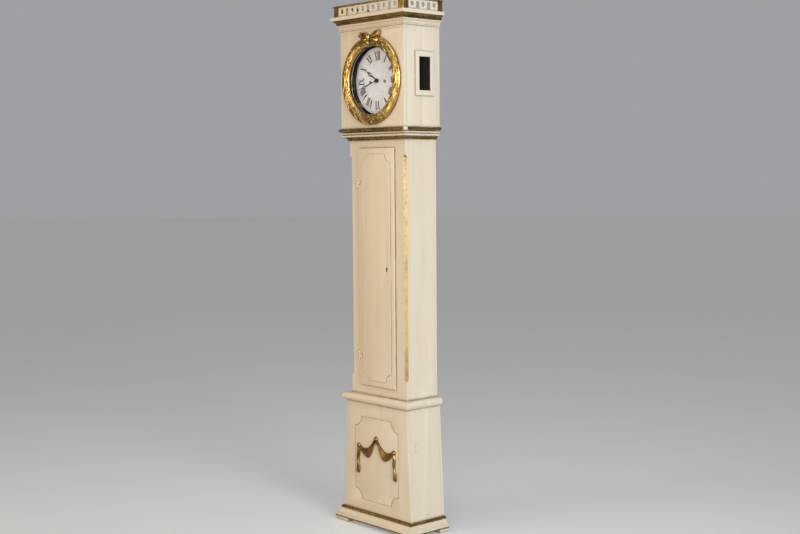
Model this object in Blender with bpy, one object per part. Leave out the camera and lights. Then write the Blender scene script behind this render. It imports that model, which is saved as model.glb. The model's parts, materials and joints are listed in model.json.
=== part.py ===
"""Painted longcase clock: case, sliding hood, hinged doors and an eight-day movement.

Run with: blender --background --python part.py

Frame: metres, +Z up, the front faces -Y, the origin is on the floor under the middle of the clock.
Depths are counted forwards from the back plane, which stands against the wall.
"""

import math

import bmesh
import bpy
from mathutils import Matrix, Vector

# ---- driving dimensions -------------------------------------------------------------------------
HEIGHT = 2.200
GAP = 0.0003  # clearance between touching pieces
HOOD_HALF_WIDTH = 0.199
HOOD_DEPTH = 0.198
CORNICE_PROJECTION = 0.031
TRUNK_HALF_WIDTH = 0.174
TRUNK_DEPTH = 0.172
PLINTH_TOP_HALF_WIDTH = 0.190
PLINTH_BASE_HALF_WIDTH = 0.214
PLINTH_DEPTH = 0.190
BASE_PROJECTION = 0.031
BACK_Y = (HOOD_DEPTH + CORNICE_PROJECTION) / 2  # keeps the origin under the middle

FOOT_HEIGHT = 0.014
BASE_TOP_Z = 0.062
PLINTH_TOP_Z = 0.527
WAIST_TOP_Z = 0.562
TRUNK_TOP_Z = 1.6705
HOOD_SEAT_Z = 1.671
HOOD_SIDE_Z = 1.685
DOOR_TOP_Z = 2.0815
HOOD_TOP_Z = 2.0925
CORNICE_TOP_Z = 2.152
SEATBOARD_TOP_Z = 1.795
SEATBOARD_THICKNESS = 0.018
INNER_BOARD_BASE_Z = 0.280

BOARD = 0.018
BACKBOARD = 0.012
HOOD_BOARD = 0.016
HOOD_DOOR = 0.0147
DIAL_RADIUS = 0.1375
DIAL_FRONT_DEPTH = 0.165
BEZEL_INNER = 0.139
BEZEL_OUTER = 0.1825
HOOD_DOOR_HOLE = 0.142

# arbors, as (x, z)
CENTRE = (0.0, 1.880)
GOING_BARREL = (0.046, 1.875)
STRIKE_BARREL = (-0.046, 1.875)
CENTRE_TO_THIRD = 0.0255
THIRD_TO_ESCAPE = 0.0234
THIRD_BEARING = math.radians(125)  # from +X towards +Z
THIRD = (
    CENTRE[0] + CENTRE_TO_THIRD * math.cos(THIRD_BEARING),
    CENTRE[1] + CENTRE_TO_THIRD * math.sin(THIRD_BEARING),
)
ESCAPE = (0.0, THIRD[1] + math.sqrt(THIRD_TO_ESCAPE**2 - THIRD[0] ** 2))
PALLETS = (0.0, ESCAPE[1] + 0.031)
MINUTE_STUD = (0.0, 1.8566)
HAMMER_ARBOR = (-0.060, 1.945)

BACK_PLATE = (0.070, 0.073)  # depths of its two faces
FRONT_PLATE = (0.133, 0.136)
PLATE_HALF_WIDTH = 0.085
PLATE_TOP_Z = 1.975
PILLARS = [(x, z) for x in (-0.0785, 0.0785) for z in (1.808, 1.962)]
LINE_DEPTH = 0.105
PENDULUM_DEPTH = 0.054
PENDULUM_LENGTH = 0.994
LINE_RADIUS = 0.001
DRUM_RADIUS = 0.022
LINE_OFFSET = DRUM_RADIUS + LINE_RADIUS + GAP
PULLEY_Z = 0.395
WEIGHT_RADIUS = 0.027
WEIGHT_LENGTH = 0.190

MINUTE_HAND_ANGLE = math.radians(253)  # clockwise from XII
HOUR_HAND_ANGLE = math.radians(303)

TRUNK_DOOR_AXIS = (-0.1150, 0.1790)  # x and depth
HOOD_DOOR_AXIS = (-0.2010, HOOD_DEPTH - HOOD_DOOR)

COLOURS = {  # colour, roughness, metallic
    "cream_paint": ((0.72, 0.60, 0.42), 0.55, 0.0),
    "gilt": ((0.62, 0.40, 0.11), 0.38, 1.0),
    "enamel": ((0.80, 0.80, 0.78), 0.18, 0.0),
    "glass": ((0.80, 0.86, 0.84), 0.05, 0.0),
    "brass": ((0.66, 0.47, 0.17), 0.30, 1.0),
    "steel": ((0.45, 0.45, 0.46), 0.35, 1.0),
    "black_steel": ((0.015, 0.015, 0.02), 0.35, 0.6),
    "lead": ((0.22, 0.22, 0.23), 0.60, 1.0),
    "pine": ((0.38, 0.23, 0.11), 0.70, 0.0),
    "gut": ((0.46, 0.30, 0.14), 0.60, 0.0),
}


# ---- tools ---------------------------------------------------------------------------------------
def y_at(depth):
    return BACK_Y - depth


def make_materials():
    for name, (colour, roughness, metallic) in COLOURS.items():
        material = bpy.data.materials.new(name)
        material.use_nodes = True
        shader = material.node_tree.nodes["Principled BSDF"]
        shader.inputs["Base Color"].default_value = (*colour, 1.0)
        shader.inputs["Roughness"].default_value = roughness
        shader.inputs["Metallic"].default_value = metallic


def add_object(name, bm, material, origin=(0.0, 0.0, 0.0), smooth=False):
    """Links the mesh as an object whose origin is the given world point."""
    bmesh.ops.recalc_face_normals(bm, faces=bm.faces)
    bmesh.ops.translate(bm, verts=bm.verts, vec=-Vector(origin))
    mesh = bpy.data.meshes.new(name)
    bm.to_mesh(mesh)
    bm.free()
    if smooth:
        mesh.shade_smooth()
        mesh.set_sharp_from_angle(angle=math.radians(35))
    mesh.materials.append(bpy.data.materials[material])
    piece = bpy.data.objects.new(name, mesh)
    piece.location = origin
    bpy.context.collection.objects.link(piece)
    return piece


def add_skin(bm, loops, cyclic=False):
    """A closed surface through successive loops of equal length, capped at both ends or cyclic."""
    rings = [[bm.verts.new(point) for point in loop] for loop in loops]
    count = len(rings[0])
    pairs = list(zip(rings, rings[1:]))
    if cyclic:
        pairs.append((rings[-1], rings[0]))
    else:
        bm.faces.new(rings[0])
        bm.faces.new(rings[-1])
    for first, second in pairs:
        for i in range(count):
            j = (i + 1) % count
            bm.faces.new((first[i], first[j], second[j], second[i]))


def skin(name, loops, material, cyclic=False, **options):
    bm = bmesh.new()
    add_skin(bm, loops, cyclic)
    return add_object(name, bm, material, **options)


def box(name, x, depth, z, material, **options):
    loops = []
    for height in z:
        corners = ((x[0], depth[0]), (x[1], depth[0]), (x[1], depth[1]), (x[0], depth[1]))
        loops.append([(px, y_at(pd), height) for px, pd in corners])
    return skin(name, loops, material, **options)


def slab(name, outline, depth, material, **options):
    """An outline in the XZ plane, extruded between two depths."""
    loops = [[(x, y_at(d), z) for x, z in outline] for d in depth]
    return skin(name, loops, material, **options)


def circle(radius, centre, depth, segments):
    loop = []
    for i in range(segments):
        angle = 2 * math.pi * (i + 0.5) / segments
        x = centre[0] + radius * math.cos(angle)
        z = centre[1] + radius * math.sin(angle)
        loop.append((x, y_at(depth), z))
    return loop


def turned(name, profile, centre, material, segments=16, **options):
    """A piece turned about an arbor along Y. The profile is (radius, depth) pairs."""
    loops = [circle(radius, centre, depth, segments) for radius, depth in profile]
    return skin(name, loops, material, smooth=True, **options)


def turned_upright(name, profile, centre, material, segments=16, **options):
    """A piece turned about a vertical axis at (x, depth). The profile is (radius, z) pairs."""
    loops = []
    for radius, z in profile:
        loop = []
        for i in range(segments):
            angle = 2 * math.pi * (i + 0.5) / segments
            x = centre[0] + radius * math.cos(angle)
            y = y_at(centre[1]) + radius * math.sin(angle)
            loop.append((x, y, z))
        loops.append(loop)
    return skin(name, loops, material, smooth=True, **options)


def moulding(name, half_width, depth, profile, material, **options):
    """A profile of (projection, z) pairs run round the left, front and right sides with mitres."""
    loops = []
    for side, end in ((-1, 0), (-1, 1), (1, 1), (1, 0)):
        loop = []
        for out, z in profile:
            x = side * (half_width + out)
            y = y_at(end * (depth + out))
            loop.append((x, y, z))
        loops.append(loop)
    return skin(name, loops, material, **options)


def helper(piece):
    piece.hide_render = True
    piece.display_type = "WIRE"
    return piece


def combine(piece, other, operation):
    modifier = piece.modifiers.new(other.name, "BOOLEAN")
    modifier.operation = operation
    modifier.object = helper(other)
    return piece


def joined(piece, *others):
    for other in others:
        combine(piece, other, "UNION")
    return piece


def cut(piece, *others):
    for other in others:
        combine(piece, other, "DIFFERENCE")
    return piece


def arc(centre, radius, start, end, steps):
    """Points on an arc, from one angle in degrees to another."""
    points = []
    for i in range(steps + 1):
        angle = math.radians(start + (end - start) * i / steps)
        points.append((centre[0] + radius * math.cos(angle), centre[1] + radius * math.sin(angle)))
    return points


def pivot(name, location, *pieces):
    """An empty on a joint's axis that carries the pieces."""
    empty = bpy.data.objects.new(name, None)
    empty.location = location
    empty.empty_display_size = 0.02
    bpy.context.collection.objects.link(empty)
    for piece in pieces:
        piece.parent = empty
        piece.matrix_parent_inverse = Matrix.Translation(-Vector(location))
    return empty


def on_arbor(arbor, depth=LINE_DEPTH):
    return (arbor[0], y_at(depth), arbor[1])


# ---- case ----------------------------------------------------------------------------------------
def make_feet():
    foot_x = (0.160, 0.241)
    for end, depth in (("front", (0.156, 0.216)), ("back", (0.0, 0.051))):
        for side, sign in (("left", -1), ("right", 1)):
            x = tuple(sign * value for value in foot_x)
            box(f"foot_{end}_{side}", x, depth, (0.0, FOOT_HEIGHT), "cream_paint")


def make_base_moulding():
    wall = -0.020
    profile = [
        (wall, FOOT_HEIGHT + GAP),
        (BASE_PROJECTION - 0.003, FOOT_HEIGHT + GAP),
        (BASE_PROJECTION, 0.020),
        (BASE_PROJECTION, 0.029),
        (0.024, 0.033),
        (0.013, 0.038),
        (0.008, 0.050),
        (0.006, BASE_TOP_Z),
        (wall, BASE_TOP_Z),
    ]
    moulding(
        "base_moulding", PLINTH_BASE_HALF_WIDTH, PLINTH_DEPTH - 0.001, profile, "cream_paint"
    )


def make_plinth():
    low, high = BASE_TOP_Z + GAP, PLINTH_TOP_Z
    wide, narrow = PLINTH_BASE_HALF_WIDTH, PLINTH_TOP_HALF_WIDTH
    front_back = PLINTH_DEPTH - BOARD + GAP
    outline = [(-wide, low), (wide, low), (narrow, high), (-narrow, high)]
    slab("plinth_front", outline, (front_back, PLINTH_DEPTH), "cream_paint")
    thickness = 0.015
    for side, sign in (("left", -1), ("right", 1)):
        outline = [(wide - thickness, low), (wide, low), (narrow, high), (narrow - thickness, high)]
        outline = [(sign * x, z) for x, z in outline]
        depth = (BACKBOARD + GAP, front_back - GAP)
        slab(f"plinth_side_{side}", outline, depth, "cream_paint")


def swag_outline():
    """Half a drapery swag: knot, hanging tail, lower edge, apex, and back along the upper edge."""
    return [
        (0.000, 0.352),
        (0.014, 0.352),
        (0.050, 0.293),
        (0.072, 0.291),
        (0.099, 0.320),
        (0.108, 0.296),
        (0.114, 0.218),
        (0.127, 0.218),
        (0.122, 0.300),
        (0.120, 0.340),
        (0.104, 0.345),
        (0.066, 0.330),
        (0.050, 0.334),
        (0.020, 0.374),
        (0.012, 0.385),
        (0.000, 0.387),
    ]


def make_swag():
    half = swag_outline()
    mirrored = [(-x, z) for x, z in reversed(half[1:-1])]
    slab("plinth_swag", half + mirrored, (PLINTH_DEPTH + GAP, PLINTH_DEPTH + 0.011), "gilt")


def make_waist_moulding():
    radius = (WAIST_TOP_Z - PLINTH_TOP_Z - GAP) / 2
    middle = WAIST_TOP_Z - radius
    profile = [(GAP, PLINTH_TOP_Z + GAP)]
    profile += arc((0.0158, middle), radius, -90, 90, 8)
    profile += [(GAP, WAIST_TOP_Z)]
    moulding("waist_moulding", TRUNK_HALF_WIDTH, TRUNK_DEPTH, profile, "cream_paint", smooth=True)


def chamfer_cutter(name, sign):
    """A long three-sided wedge along a front corner, running out at both ends."""
    width, run_out = 0.0125, 0.012
    low, high = 0.637, 1.575
    loops = []
    for z, share in ((low, 0.05), (low + run_out, 1), (high - run_out, 1), (high, 0.05)):
        size = width * share
        over = 0.001
        corners = ((over, over), (over, -size), (-size, over))
        loop = []
        for across, forward in corners:
            x = sign * (TRUNK_HALF_WIDTH + across)
            loop.append((x, y_at(TRUNK_DEPTH + forward), z))
        loops.append(loop)
    return skin(name, loops, "gilt")


def make_trunk_frame():
    front = (TRUNK_DEPTH - 0.020, TRUNK_DEPTH)
    outer = ((-TRUNK_HALF_WIDTH, TRUNK_HALF_WIDTH), (INNER_BOARD_BASE_Z, TRUNK_TOP_Z))
    inner = ((-0.100, 0.100), (0.6145, 1.5905))
    frame = rectangular_ring("trunk_front_frame", ((outer, front), (inner, front[::-1])))
    cut(frame, chamfer_cutter("chamfer_left", -1), chamfer_cutter("chamfer_right", 1))


def rectangular_ring(name, stages, material="cream_paint"):
    """A frame whose section passes through rectangles, each given by its span and two depths."""
    loops = []
    for ((x0, x1), (z0, z1)), depths in stages:
        for depth in depths:
            y = y_at(depth)
            loops.append([(x0, y, z0), (x1, y, z0), (x1, y, z1), (x0, y, z1)])
    return skin(name, loops, material, cyclic=True)


def make_trunk_sides():
    depth = (BACKBOARD + GAP, TRUNK_DEPTH - 0.020 - GAP)
    z = (INNER_BOARD_BASE_Z, SEATBOARD_TOP_Z - SEATBOARD_THICKNESS - GAP)
    for side, sign in (("left", -1), ("right", 1)):
        x = (sign * (TRUNK_HALF_WIDTH - BOARD), sign * TRUNK_HALF_WIDTH)
        box(f"trunk_side_{side}", x, depth, z, "cream_paint")


def make_backboard():
    low, high = BASE_TOP_Z + GAP, PLINTH_TOP_Z
    half = [
        (PLINTH_BASE_HALF_WIDTH, low),
        (PLINTH_TOP_HALF_WIDTH, high),
        (TRUNK_HALF_WIDTH, high),
        (TRUNK_HALF_WIDTH, DOOR_TOP_Z),
    ]
    mirrored = [(-x, z) for x, z in reversed(half)]
    slab("backboard", half + mirrored, (0.0, BACKBOARD), "pine")


def make_trunk_top_moulding():
    bead = 0.0255
    profile = [
        (GAP, 1.6355),
        (0.004, 1.6355),
        (0.006, 1.6410),
        (0.012, 1.6465),
        (0.020, 1.6490),
        (bead - 0.003, 1.6490),
        (bead, 1.6515),
        (bead, 1.6570),
        (bead - 0.003, 1.6595),
        (bead - 0.003, 1.6605),
        (bead, 1.6630),
        (bead, 1.6680),
        (bead - 0.002, TRUNK_TOP_Z),
        (GAP, TRUNK_TOP_Z),
    ]
    moulding("trunk_top_moulding", TRUNK_HALF_WIDTH, TRUNK_DEPTH, profile, "cream_paint")


def line_legs(arbor):
    """X of the leg that winds on to the left of the barrel, and of the leg tied to the seatboard."""
    return arbor[0] - LINE_OFFSET, arbor[0] + LINE_OFFSET + GAP


def make_seatboard():
    z = (SEATBOARD_TOP_Z - SEATBOARD_THICKNESS, SEATBOARD_TOP_Z)
    board = box("seatboard", (-0.1735, 0.1735), (0.066, 0.150), z, "pine")
    bm = bmesh.new()
    for x in (*line_legs(GOING_BARREL), *line_legs(STRIKE_BARREL)):
        outline = arc((x, LINE_DEPTH), 0.004, 0, 315, 7)
        through = (z[0] - 0.01, z[1] + 0.01)
        add_skin(bm, [[(px, y_at(depth), height) for px, depth in outline] for height in through])
    cut(board, add_object("seatboard_holes", bm, "pine"))


# ---- trunk door ----------------------------------------------------------------------------------
def scooped_rectangle(half_width, low, high, radius, steps=6):
    """A rectangle whose corners are quarter circles curving inwards."""
    corners = (
        ((half_width, low), 180, 90),
        ((half_width, high), 270, 180),
        ((-half_width, high), 0, -90),
        ((-half_width, low), 90, 0),
    )
    points = []
    for centre, start, end in corners:
        points += arc(centre, radius, start, end, steps)
    return points


def make_trunk_door():
    back, face, front = 0.160, TRUNK_DEPTH + GAP, 0.180
    loops = []
    for half_width, low, high, depth in (
        (0.0975, 0.6170, 1.5880, back),
        (0.0975, 0.6170, 1.5880, face),
        (0.1115, 0.6030, 1.6020, face),
        (0.1115, 0.6030, 1.6020, front - 0.002),
        (0.1095, 0.6050, 1.6000, front),
    ):
        y = y_at(depth)
        corners = ((-half_width, low), (half_width, low), (half_width, high), (-half_width, high))
        loops.append([(x, y, z) for x, z in corners])
    door = skin("trunk_door", loops, "cream_paint")
    outline = scooped_rectangle(0.0905, 0.6265, 1.5770, 0.035)
    field = slab("door_field", outline, (front - 0.003, front + 0.003), "cream_paint")
    keyhole = slab("keyhole_cut", keyhole_outline(), (0.150, 0.190), "pine")
    joined(door, field)
    cut(door, keyhole)
    lock = box("trunk_lock", (0.0400, 0.0970), (0.1450, 0.1597), (1.070, 1.128), "steel")
    return [door, lock]


def keyhole_outline():
    centre = (0.068, 1.1030)
    points = arc(centre, 0.0035, -50, 230, 7)
    return points + [(centre[0] - 0.002, 1.0920), (centre[0] + 0.002, 1.0920)]


def make_door_hinges():
    """Two butt hinges: a leaf with two knuckles on the frame, one with one knuckle on the door."""
    leaves = []
    axis_x, axis_depth = TRUNK_DOOR_AXIS
    knuckle = 0.0032
    for label, middle in (("upper", 1.460), ("lower", 0.725)):
        spans = ((-0.020, -0.0072), (0.0072, 0.020))
        leaf_depth = (TRUNK_DEPTH + GAP, TRUNK_DEPTH + 0.0015)
        leaf_x = (axis_x - 0.018, axis_x - knuckle + 0.0008)
        z = (middle - 0.020, middle + 0.020)
        frame_leaf = box(f"hinge_{label}_frame_leaf", leaf_x, leaf_depth, z, "brass")
        for i, (low, high) in enumerate(spans):
            ring = [(knuckle, middle + low), (knuckle, middle + high)]
            name = f"hinge_{label}_knuckle_{i}"
            strap_z = (middle + low, middle + high)
            strap_x = (axis_x - knuckle, axis_x - 0.001)
            strap_depth = (TRUNK_DEPTH + 0.0004, axis_depth)
            strap = box(f"{name}_strap", strap_x, strap_depth, strap_z, "brass")
            joined(frame_leaf, strap)
            joined(frame_leaf, turned_upright(name, ring, TRUNK_DOOR_AXIS, "brass", segments=10))
        pin = [(0.0012, middle - 0.016), (0.0012, middle + 0.016)]
        joined(
            frame_leaf,
            turned_upright(f"hinge_{label}_pin", pin, TRUNK_DOOR_AXIS, "brass", segments=8),
        )
        leaves.append(door_leaf(label, middle, knuckle))
    return leaves


def door_leaf(label, middle, knuckle):
    axis_x, axis_depth = TRUNK_DOOR_AXIS
    reach = 0.0066
    z = (middle - reach, middle + reach)
    front = 0.180
    leaf = box(
        f"hinge_{label}_door_leaf", (axis_x, -0.0950), (front + GAP, front + 0.0015), z, "brass"
    )
    barrel = [(knuckle, z[0]), (knuckle, z[1])]
    joined(leaf, turned_upright(f"{label}_barrel", barrel, TRUNK_DOOR_AXIS, "brass", segments=10))
    bore = [(0.0016, z[0] - 0.01), (0.0016, z[1] + 0.01)]
    cut(leaf, turned_upright(f"{label}_bore", bore, TRUNK_DOOR_AXIS, "brass", segments=8))
    return leaf


# ---- hood ----------------------------------------------------------------------------------------
def make_hood_base():
    wall = -0.0225
    profile = [
        (wall, HOOD_SEAT_Z + GAP),
        (0.0050, HOOD_SEAT_Z + GAP),
        (0.0080, 1.6740),
        (0.0090, 1.6780),
        (0.0080, 1.6820),
        (0.0050, HOOD_SIDE_Z),
        (wall, HOOD_SIDE_Z),
    ]
    return moulding("hood_base_moulding", HOOD_HALF_WIDTH, HOOD_DEPTH, profile, "gilt")


WINDOW = ((0.0535, 0.1175), (1.8315, 1.9700))  # depths and heights
WINDOW_FRAME = ((0.0335, 0.1375), (1.8115, 1.9900))


def make_hood_side(side, sign):
    inner, outer = HOOD_HALF_WIDTH - HOOD_BOARD, HOOD_HALF_WIDTH
    raised = outer + 0.006
    board = ((0.0, HOOD_DEPTH - HOOD_DOOR - GAP), (HOOD_SIDE_Z + GAP, HOOD_TOP_Z))
    stages = (
        (board, inner),
        (board, outer),
        (WINDOW_FRAME, outer),
        (WINDOW_FRAME, raised),
        (WINDOW, raised),
        (WINDOW, inner),
    )
    loops = []
    for ((d0, d1), (z0, z1)), x in stages:
        corners = ((d0, z0), (d1, z0), (d1, z1), (d0, z1))
        loops.append([(sign * x, y_at(d), z) for d, z in corners])
    return skin(f"hood_side_{side}", loops, "cream_paint", cyclic=True)


def make_window_glass(side, sign):
    margin = 0.0004
    depth = (WINDOW[0][0] + margin, WINDOW[0][1] - margin)
    z = (WINDOW[1][0] + margin, WINDOW[1][1] - margin)
    x = (sign * 0.1900, sign * 0.1920)
    return box(f"window_glass_{side}", x, depth, z, "glass")


def make_hood_top():
    """The dust board, with the rail over the door hanging from its front edge."""
    top, under = HOOD_TOP_Z + 0.0125, HOOD_TOP_Z + 0.0005
    rail_back = HOOD_DEPTH - HOOD_DOOR
    section = [
        (0.0, under),
        (rail_back, under),
        (rail_back, DOOR_TOP_Z + GAP),
        (HOOD_DEPTH, DOOR_TOP_Z + GAP),
        (HOOD_DEPTH, top),
        (0.0, top),
    ]
    loops = []
    for x in (-HOOD_HALF_WIDTH, HOOD_HALF_WIDTH):
        loops.append([(x, y_at(depth), z) for depth, z in section])
    return skin("hood_top_board", loops, "cream_paint")


def make_cornice():
    out = CORNICE_PROJECTION
    profile = [
        (GAP, HOOD_TOP_Z + 0.0005),
        (0.0030, HOOD_TOP_Z + 0.0005),
        (0.0035, 2.0975),
        (0.0045, 2.0985),
        (0.0060, 2.1060),
        (0.0110, 2.1150),
        (0.0120, 2.1200),
        (0.0145, 2.1270),
        (0.0200, 2.1330),
        (out - 0.003, 2.1370),
        (out, 2.1370),
        (out, CORNICE_TOP_Z),
        (GAP, CORNICE_TOP_Z),
    ]
    return moulding("hood_cornice", HOOD_HALF_WIDTH, HOOD_DEPTH, profile, "cream_paint")


GALLERY_HOLE_Z = 2.1745
GALLERY_BOARD = 0.008
GALLERY_OUT = 0.018


def gallery_hole(middle, round_one):
    """The outline of a pierced circle, or of an arch with a flat foot."""
    half = 0.0098
    if round_one:
        return arc((middle, GALLERY_HOLE_Z), half, 18, 342, 9)
    springing = GALLERY_HOLE_Z + 0.0015
    head = arc((middle, springing), half, 0, 180, 6)
    return head + [(middle - half, 2.1560), (middle + half, 2.1560)]


def make_gallery_front():
    outer = HOOD_HALF_WIDTH + GALLERY_OUT
    depth = (HOOD_DEPTH + GALLERY_OUT - GALLERY_BOARD, HOOD_DEPTH + GALLERY_OUT)
    z = (CORNICE_TOP_Z + GAP, HEIGHT)
    panel = box("gallery_front", (-outer, outer), depth, z, "cream_paint")
    pitch = 0.0334
    bm = bmesh.new()
    for step in range(-5, 6):
        outline = gallery_hole(step * pitch, step % 2 == 1)
        through = (depth[0] - 0.01, depth[1] + 0.01)
        add_skin(bm, [[(x, y_at(d), height) for x, height in outline] for d in through])
    return cut(panel, add_object("gallery_front_holes", bm, "pine"))


def make_gallery_side(side, sign):
    outer = HOOD_HALF_WIDTH + GALLERY_OUT
    depth = (0.0, HOOD_DEPTH + GALLERY_OUT - GALLERY_BOARD - GAP)
    z = (CORNICE_TOP_Z + GAP, HEIGHT)
    x = (sign * (outer - GALLERY_BOARD), sign * outer)
    panel = box(f"gallery_{side}", x, depth, z, "cream_paint")
    pitch = 0.0304
    bm = bmesh.new()
    for step in range(-2, 3):
        outline = gallery_hole(0.1060 + step * pitch, step % 2 == 0)
        through = (x[0] - sign * 0.01, x[1] + sign * 0.01)
        add_skin(bm, [[(across, y_at(d), height) for d, height in outline] for across in through])
    return cut(panel, add_object(f"gallery_{side}_holes", bm, "pine"))


def make_hood_door():
    depth = (HOOD_DEPTH - HOOD_DOOR, HOOD_DEPTH)
    z = (HOOD_SIDE_Z + GAP, DOOR_TOP_Z)
    door = box("hood_door", (-HOOD_HALF_WIDTH, HOOD_HALF_WIDTH), depth, z, "cream_paint")
    hole = [(HOOD_DOOR_HOLE, depth[0] - 0.01), (HOOD_DOOR_HOLE, depth[1] + 0.01)]
    cut(door, turned("door_hole", hole, CENTRE, "pine", segments=40))
    pane = [(HOOD_DOOR_HOLE - 0.0010, 0.1862), (HOOD_DOOR_HOLE - 0.0010, 0.1884)]
    glass = turned("dial_glass", pane, CENTRE, "glass", segments=40)
    return [door, glass, make_bezel(), make_bow()]


def make_bezel():
    back = HOOD_DEPTH + GAP
    profile = [
        (BEZEL_INNER, back),
        (BEZEL_INNER, 0.2040),
        (0.1460, 0.2115),
        (0.1610, 0.2155),
        (0.1750, 0.2115),
        (BEZEL_OUTER, 0.2040),
        (BEZEL_OUTER, back),
    ]
    loops = [circle(radius, CENTRE, depth, 40) for radius, depth in profile]
    return skin("bezel_wreath", loops, "gilt", cyclic=True, smooth=True)


def make_bow():
    """A ribbon bow with two loops and a tail hanging over the wreath."""
    half = [
        (0.000, 2.0285),
        (0.009, 2.0340),
        (0.012, 2.0480),
        (0.030, 2.0420),
        (0.060, 2.0400),
        (0.066, 2.0480),
        (0.052, 2.0560),
        (0.058, 2.0700),
        (0.050, 2.0830),
        (0.032, 2.0860),
        (0.012, 2.0760),
        (0.000, 2.0780),
    ]
    mirrored = [(-x, z) for x, z in reversed(half[1:-1])]
    return slab("bezel_bow", half + mirrored, (0.2160, 0.2250), "gilt")


def make_hood():
    pieces = [make_hood_base(), make_hood_top(), make_cornice(), make_gallery_front()]
    for side, sign in (("left", -1), ("right", 1)):
        pieces.append(make_hood_side(side, sign))
        pieces.append(make_window_glass(side, sign))
        pieces.append(make_gallery_side(side, sign))
    return pieces


# ---- movement ------------------------------------------------------------------------------------
def toothed(teeth, root, tip, centre, phase):
    """A wheel's outline: one point at each tooth's tip and one in each gap."""
    points = []
    for i in range(teeth):
        for radius, shift in ((tip, 0.0), (root, 0.5)):
            angle = phase + 2 * math.pi * (i + shift) / teeth
            points.append(
                (centre[0] + radius * math.cos(angle), centre[1] + radius * math.sin(angle))
            )
    return points


def leaved(leaves, root, tip, centre, phase, width=0.30):
    """A pinion's outline: narrow leaves, each as wide at its root as this share of the pitch."""
    points = []
    for i in range(leaves):
        for radius, shift in ((root, -width / 2), (tip, 0.0), (root, width / 2)):
            angle = phase + 2 * math.pi * (i + shift) / leaves
            points.append(
                (centre[0] + radius * math.cos(angle), centre[1] + radius * math.sin(angle))
            )
    return points


def bearing(first, second):
    """The direction from one arbor to another, as an angle from +X towards +Z."""
    return math.atan2(second[1] - first[1], second[0] - first[0])


def gap_phase(centre, other, teeth):
    """The phase that turns a gap between two teeth towards the other arbor."""
    return bearing(centre, other) + math.pi / teeth


def arbor_profile(body_radius, start, end, pivot_radius=0.0012):
    """A plain arbor between the plates, with a pivot in each."""
    shoulder = 0.0005
    return [
        (pivot_radius, start - 0.0025),
        (pivot_radius, start + shoulder),
        (body_radius, start + shoulder),
        (body_radius, end - shoulder),
        (pivot_radius, end - shoulder),
        (pivot_radius, end + 0.0025),
    ]


def plate_outline():
    low, high = SEATBOARD_TOP_Z + GAP, PLATE_TOP_Z
    half = PLATE_HALF_WIDTH
    return [(-half, low), (half, low), (half, high), (-half, high)]


def drill(plate, depth, holes, segments=8):
    """Round holes along Y, each a centre and a radius."""
    bm = bmesh.new()
    for centre, radius in holes:
        through = (depth[0] - 0.002, depth[1] + 0.002)
        add_skin(bm, [circle(radius, centre, d, segments) for d in through])
    cut(plate, add_object(f"{plate.name}_holes", bm, "brass"))


def make_plates():
    front = slab("front_plate", plate_outline(), FRONT_PLATE, "brass")
    back = slab("back_plate", plate_outline(), BACK_PLATE, "brass")
    pivot_hole = 0.0017
    shared = [(THIRD, pivot_hole), (ESCAPE, pivot_hole), (HAMMER_ARBOR, pivot_hole)]
    barrels = ((GOING_BARREL, 0.0036), (STRIKE_BARREL, 0.0036))
    drill(
        front,
        FRONT_PLATE,
        [*shared, *barrels, (CENTRE, 0.0026), (PALLETS, pivot_hole), (MINUTE_STUD, pivot_hole)],
    )
    for i, centre in enumerate(PILLARS):
        profile = [(0.005, BACK_PLATE[1] - 0.001), (0.005, FRONT_PLATE[0] - GAP)]
        joined(back, turned(f"pillar_{i}", profile, centre, "brass", segments=10))
    cock_z = (PALLETS[1] + 0.0057, PALLETS[1] + 0.0177)
    cock = box("back_cock", (-0.016, 0.016), (0.0475, 0.0705), cock_z, "brass")
    post = box("bell_post", (-0.004, 0.004), BACK_PLATE, (1.970, 2.0345), "brass")
    joined(back, cock, post)
    drill(
        back, BACK_PLATE, [*shared, *barrels, (CENTRE, pivot_hole), (PALLETS, 0.0030)]
    )


def make_bell():
    middle = sum(BACK_PLATE) / 2
    outer = [(0.036, 2.0050), (0.0345, 2.0160), (0.028, 2.0280), (0.015, 2.0370), (0.006, 2.0385)]
    inner = [(0.006, 2.0355), (0.014, 2.0345), (0.026, 2.0260), (0.032, 2.0150), (0.0335, 2.0050)]
    bell = turned_upright("bell", outer + inner, (0.0, middle), "brass", cyclic=True)
    stem = [(0.0035, 2.0348), (0.0035, 2.0375), (0.0075, 2.0375), (0.0075, 2.0430), (0.003, 2.0460)]
    joined(bell, turned_upright("bell_nut", stem, (0.0, middle), "brass", segments=12))


def make_centre_wheel():
    profile = arbor_profile(0.0019, BACK_PLATE[1], FRONT_PLATE[0])[:3] + [(0.0019, 0.1755)]
    arbor = turned("centre_wheel", profile, CENTRE, "brass", segments=8, origin=on_arbor(CENTRE))
    wheel = toothed(60, 0.0214, 0.0232, CENTRE, bearing(CENTRE, THIRD))
    pinion = leaved(8, 0.0024, 0.0042, CENTRE, gap_phase(CENTRE, GOING_BARREL, 8), 0.45)
    joined(
        arbor,
        slab("centre_rim", wheel, (0.0765, 0.0785), "brass"),
        slab("centre_pinion", pinion, (0.0825, 0.0890), "steel"),
    )
    return arbor


def make_great_wheel():
    outline = toothed(96, 0.0413, 0.0436, GOING_BARREL, bearing(GOING_BARREL, CENTRE))
    wheel = slab("great_wheel", outline, (0.0845, 0.0870), "brass", origin=on_arbor(GOING_BARREL))
    bore = [(0.0038, 0.080), (0.0038, 0.092)]
    cut(wheel, turned("great_wheel_bore", bore, GOING_BARREL, "brass", segments=10))
    return wheel


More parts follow.
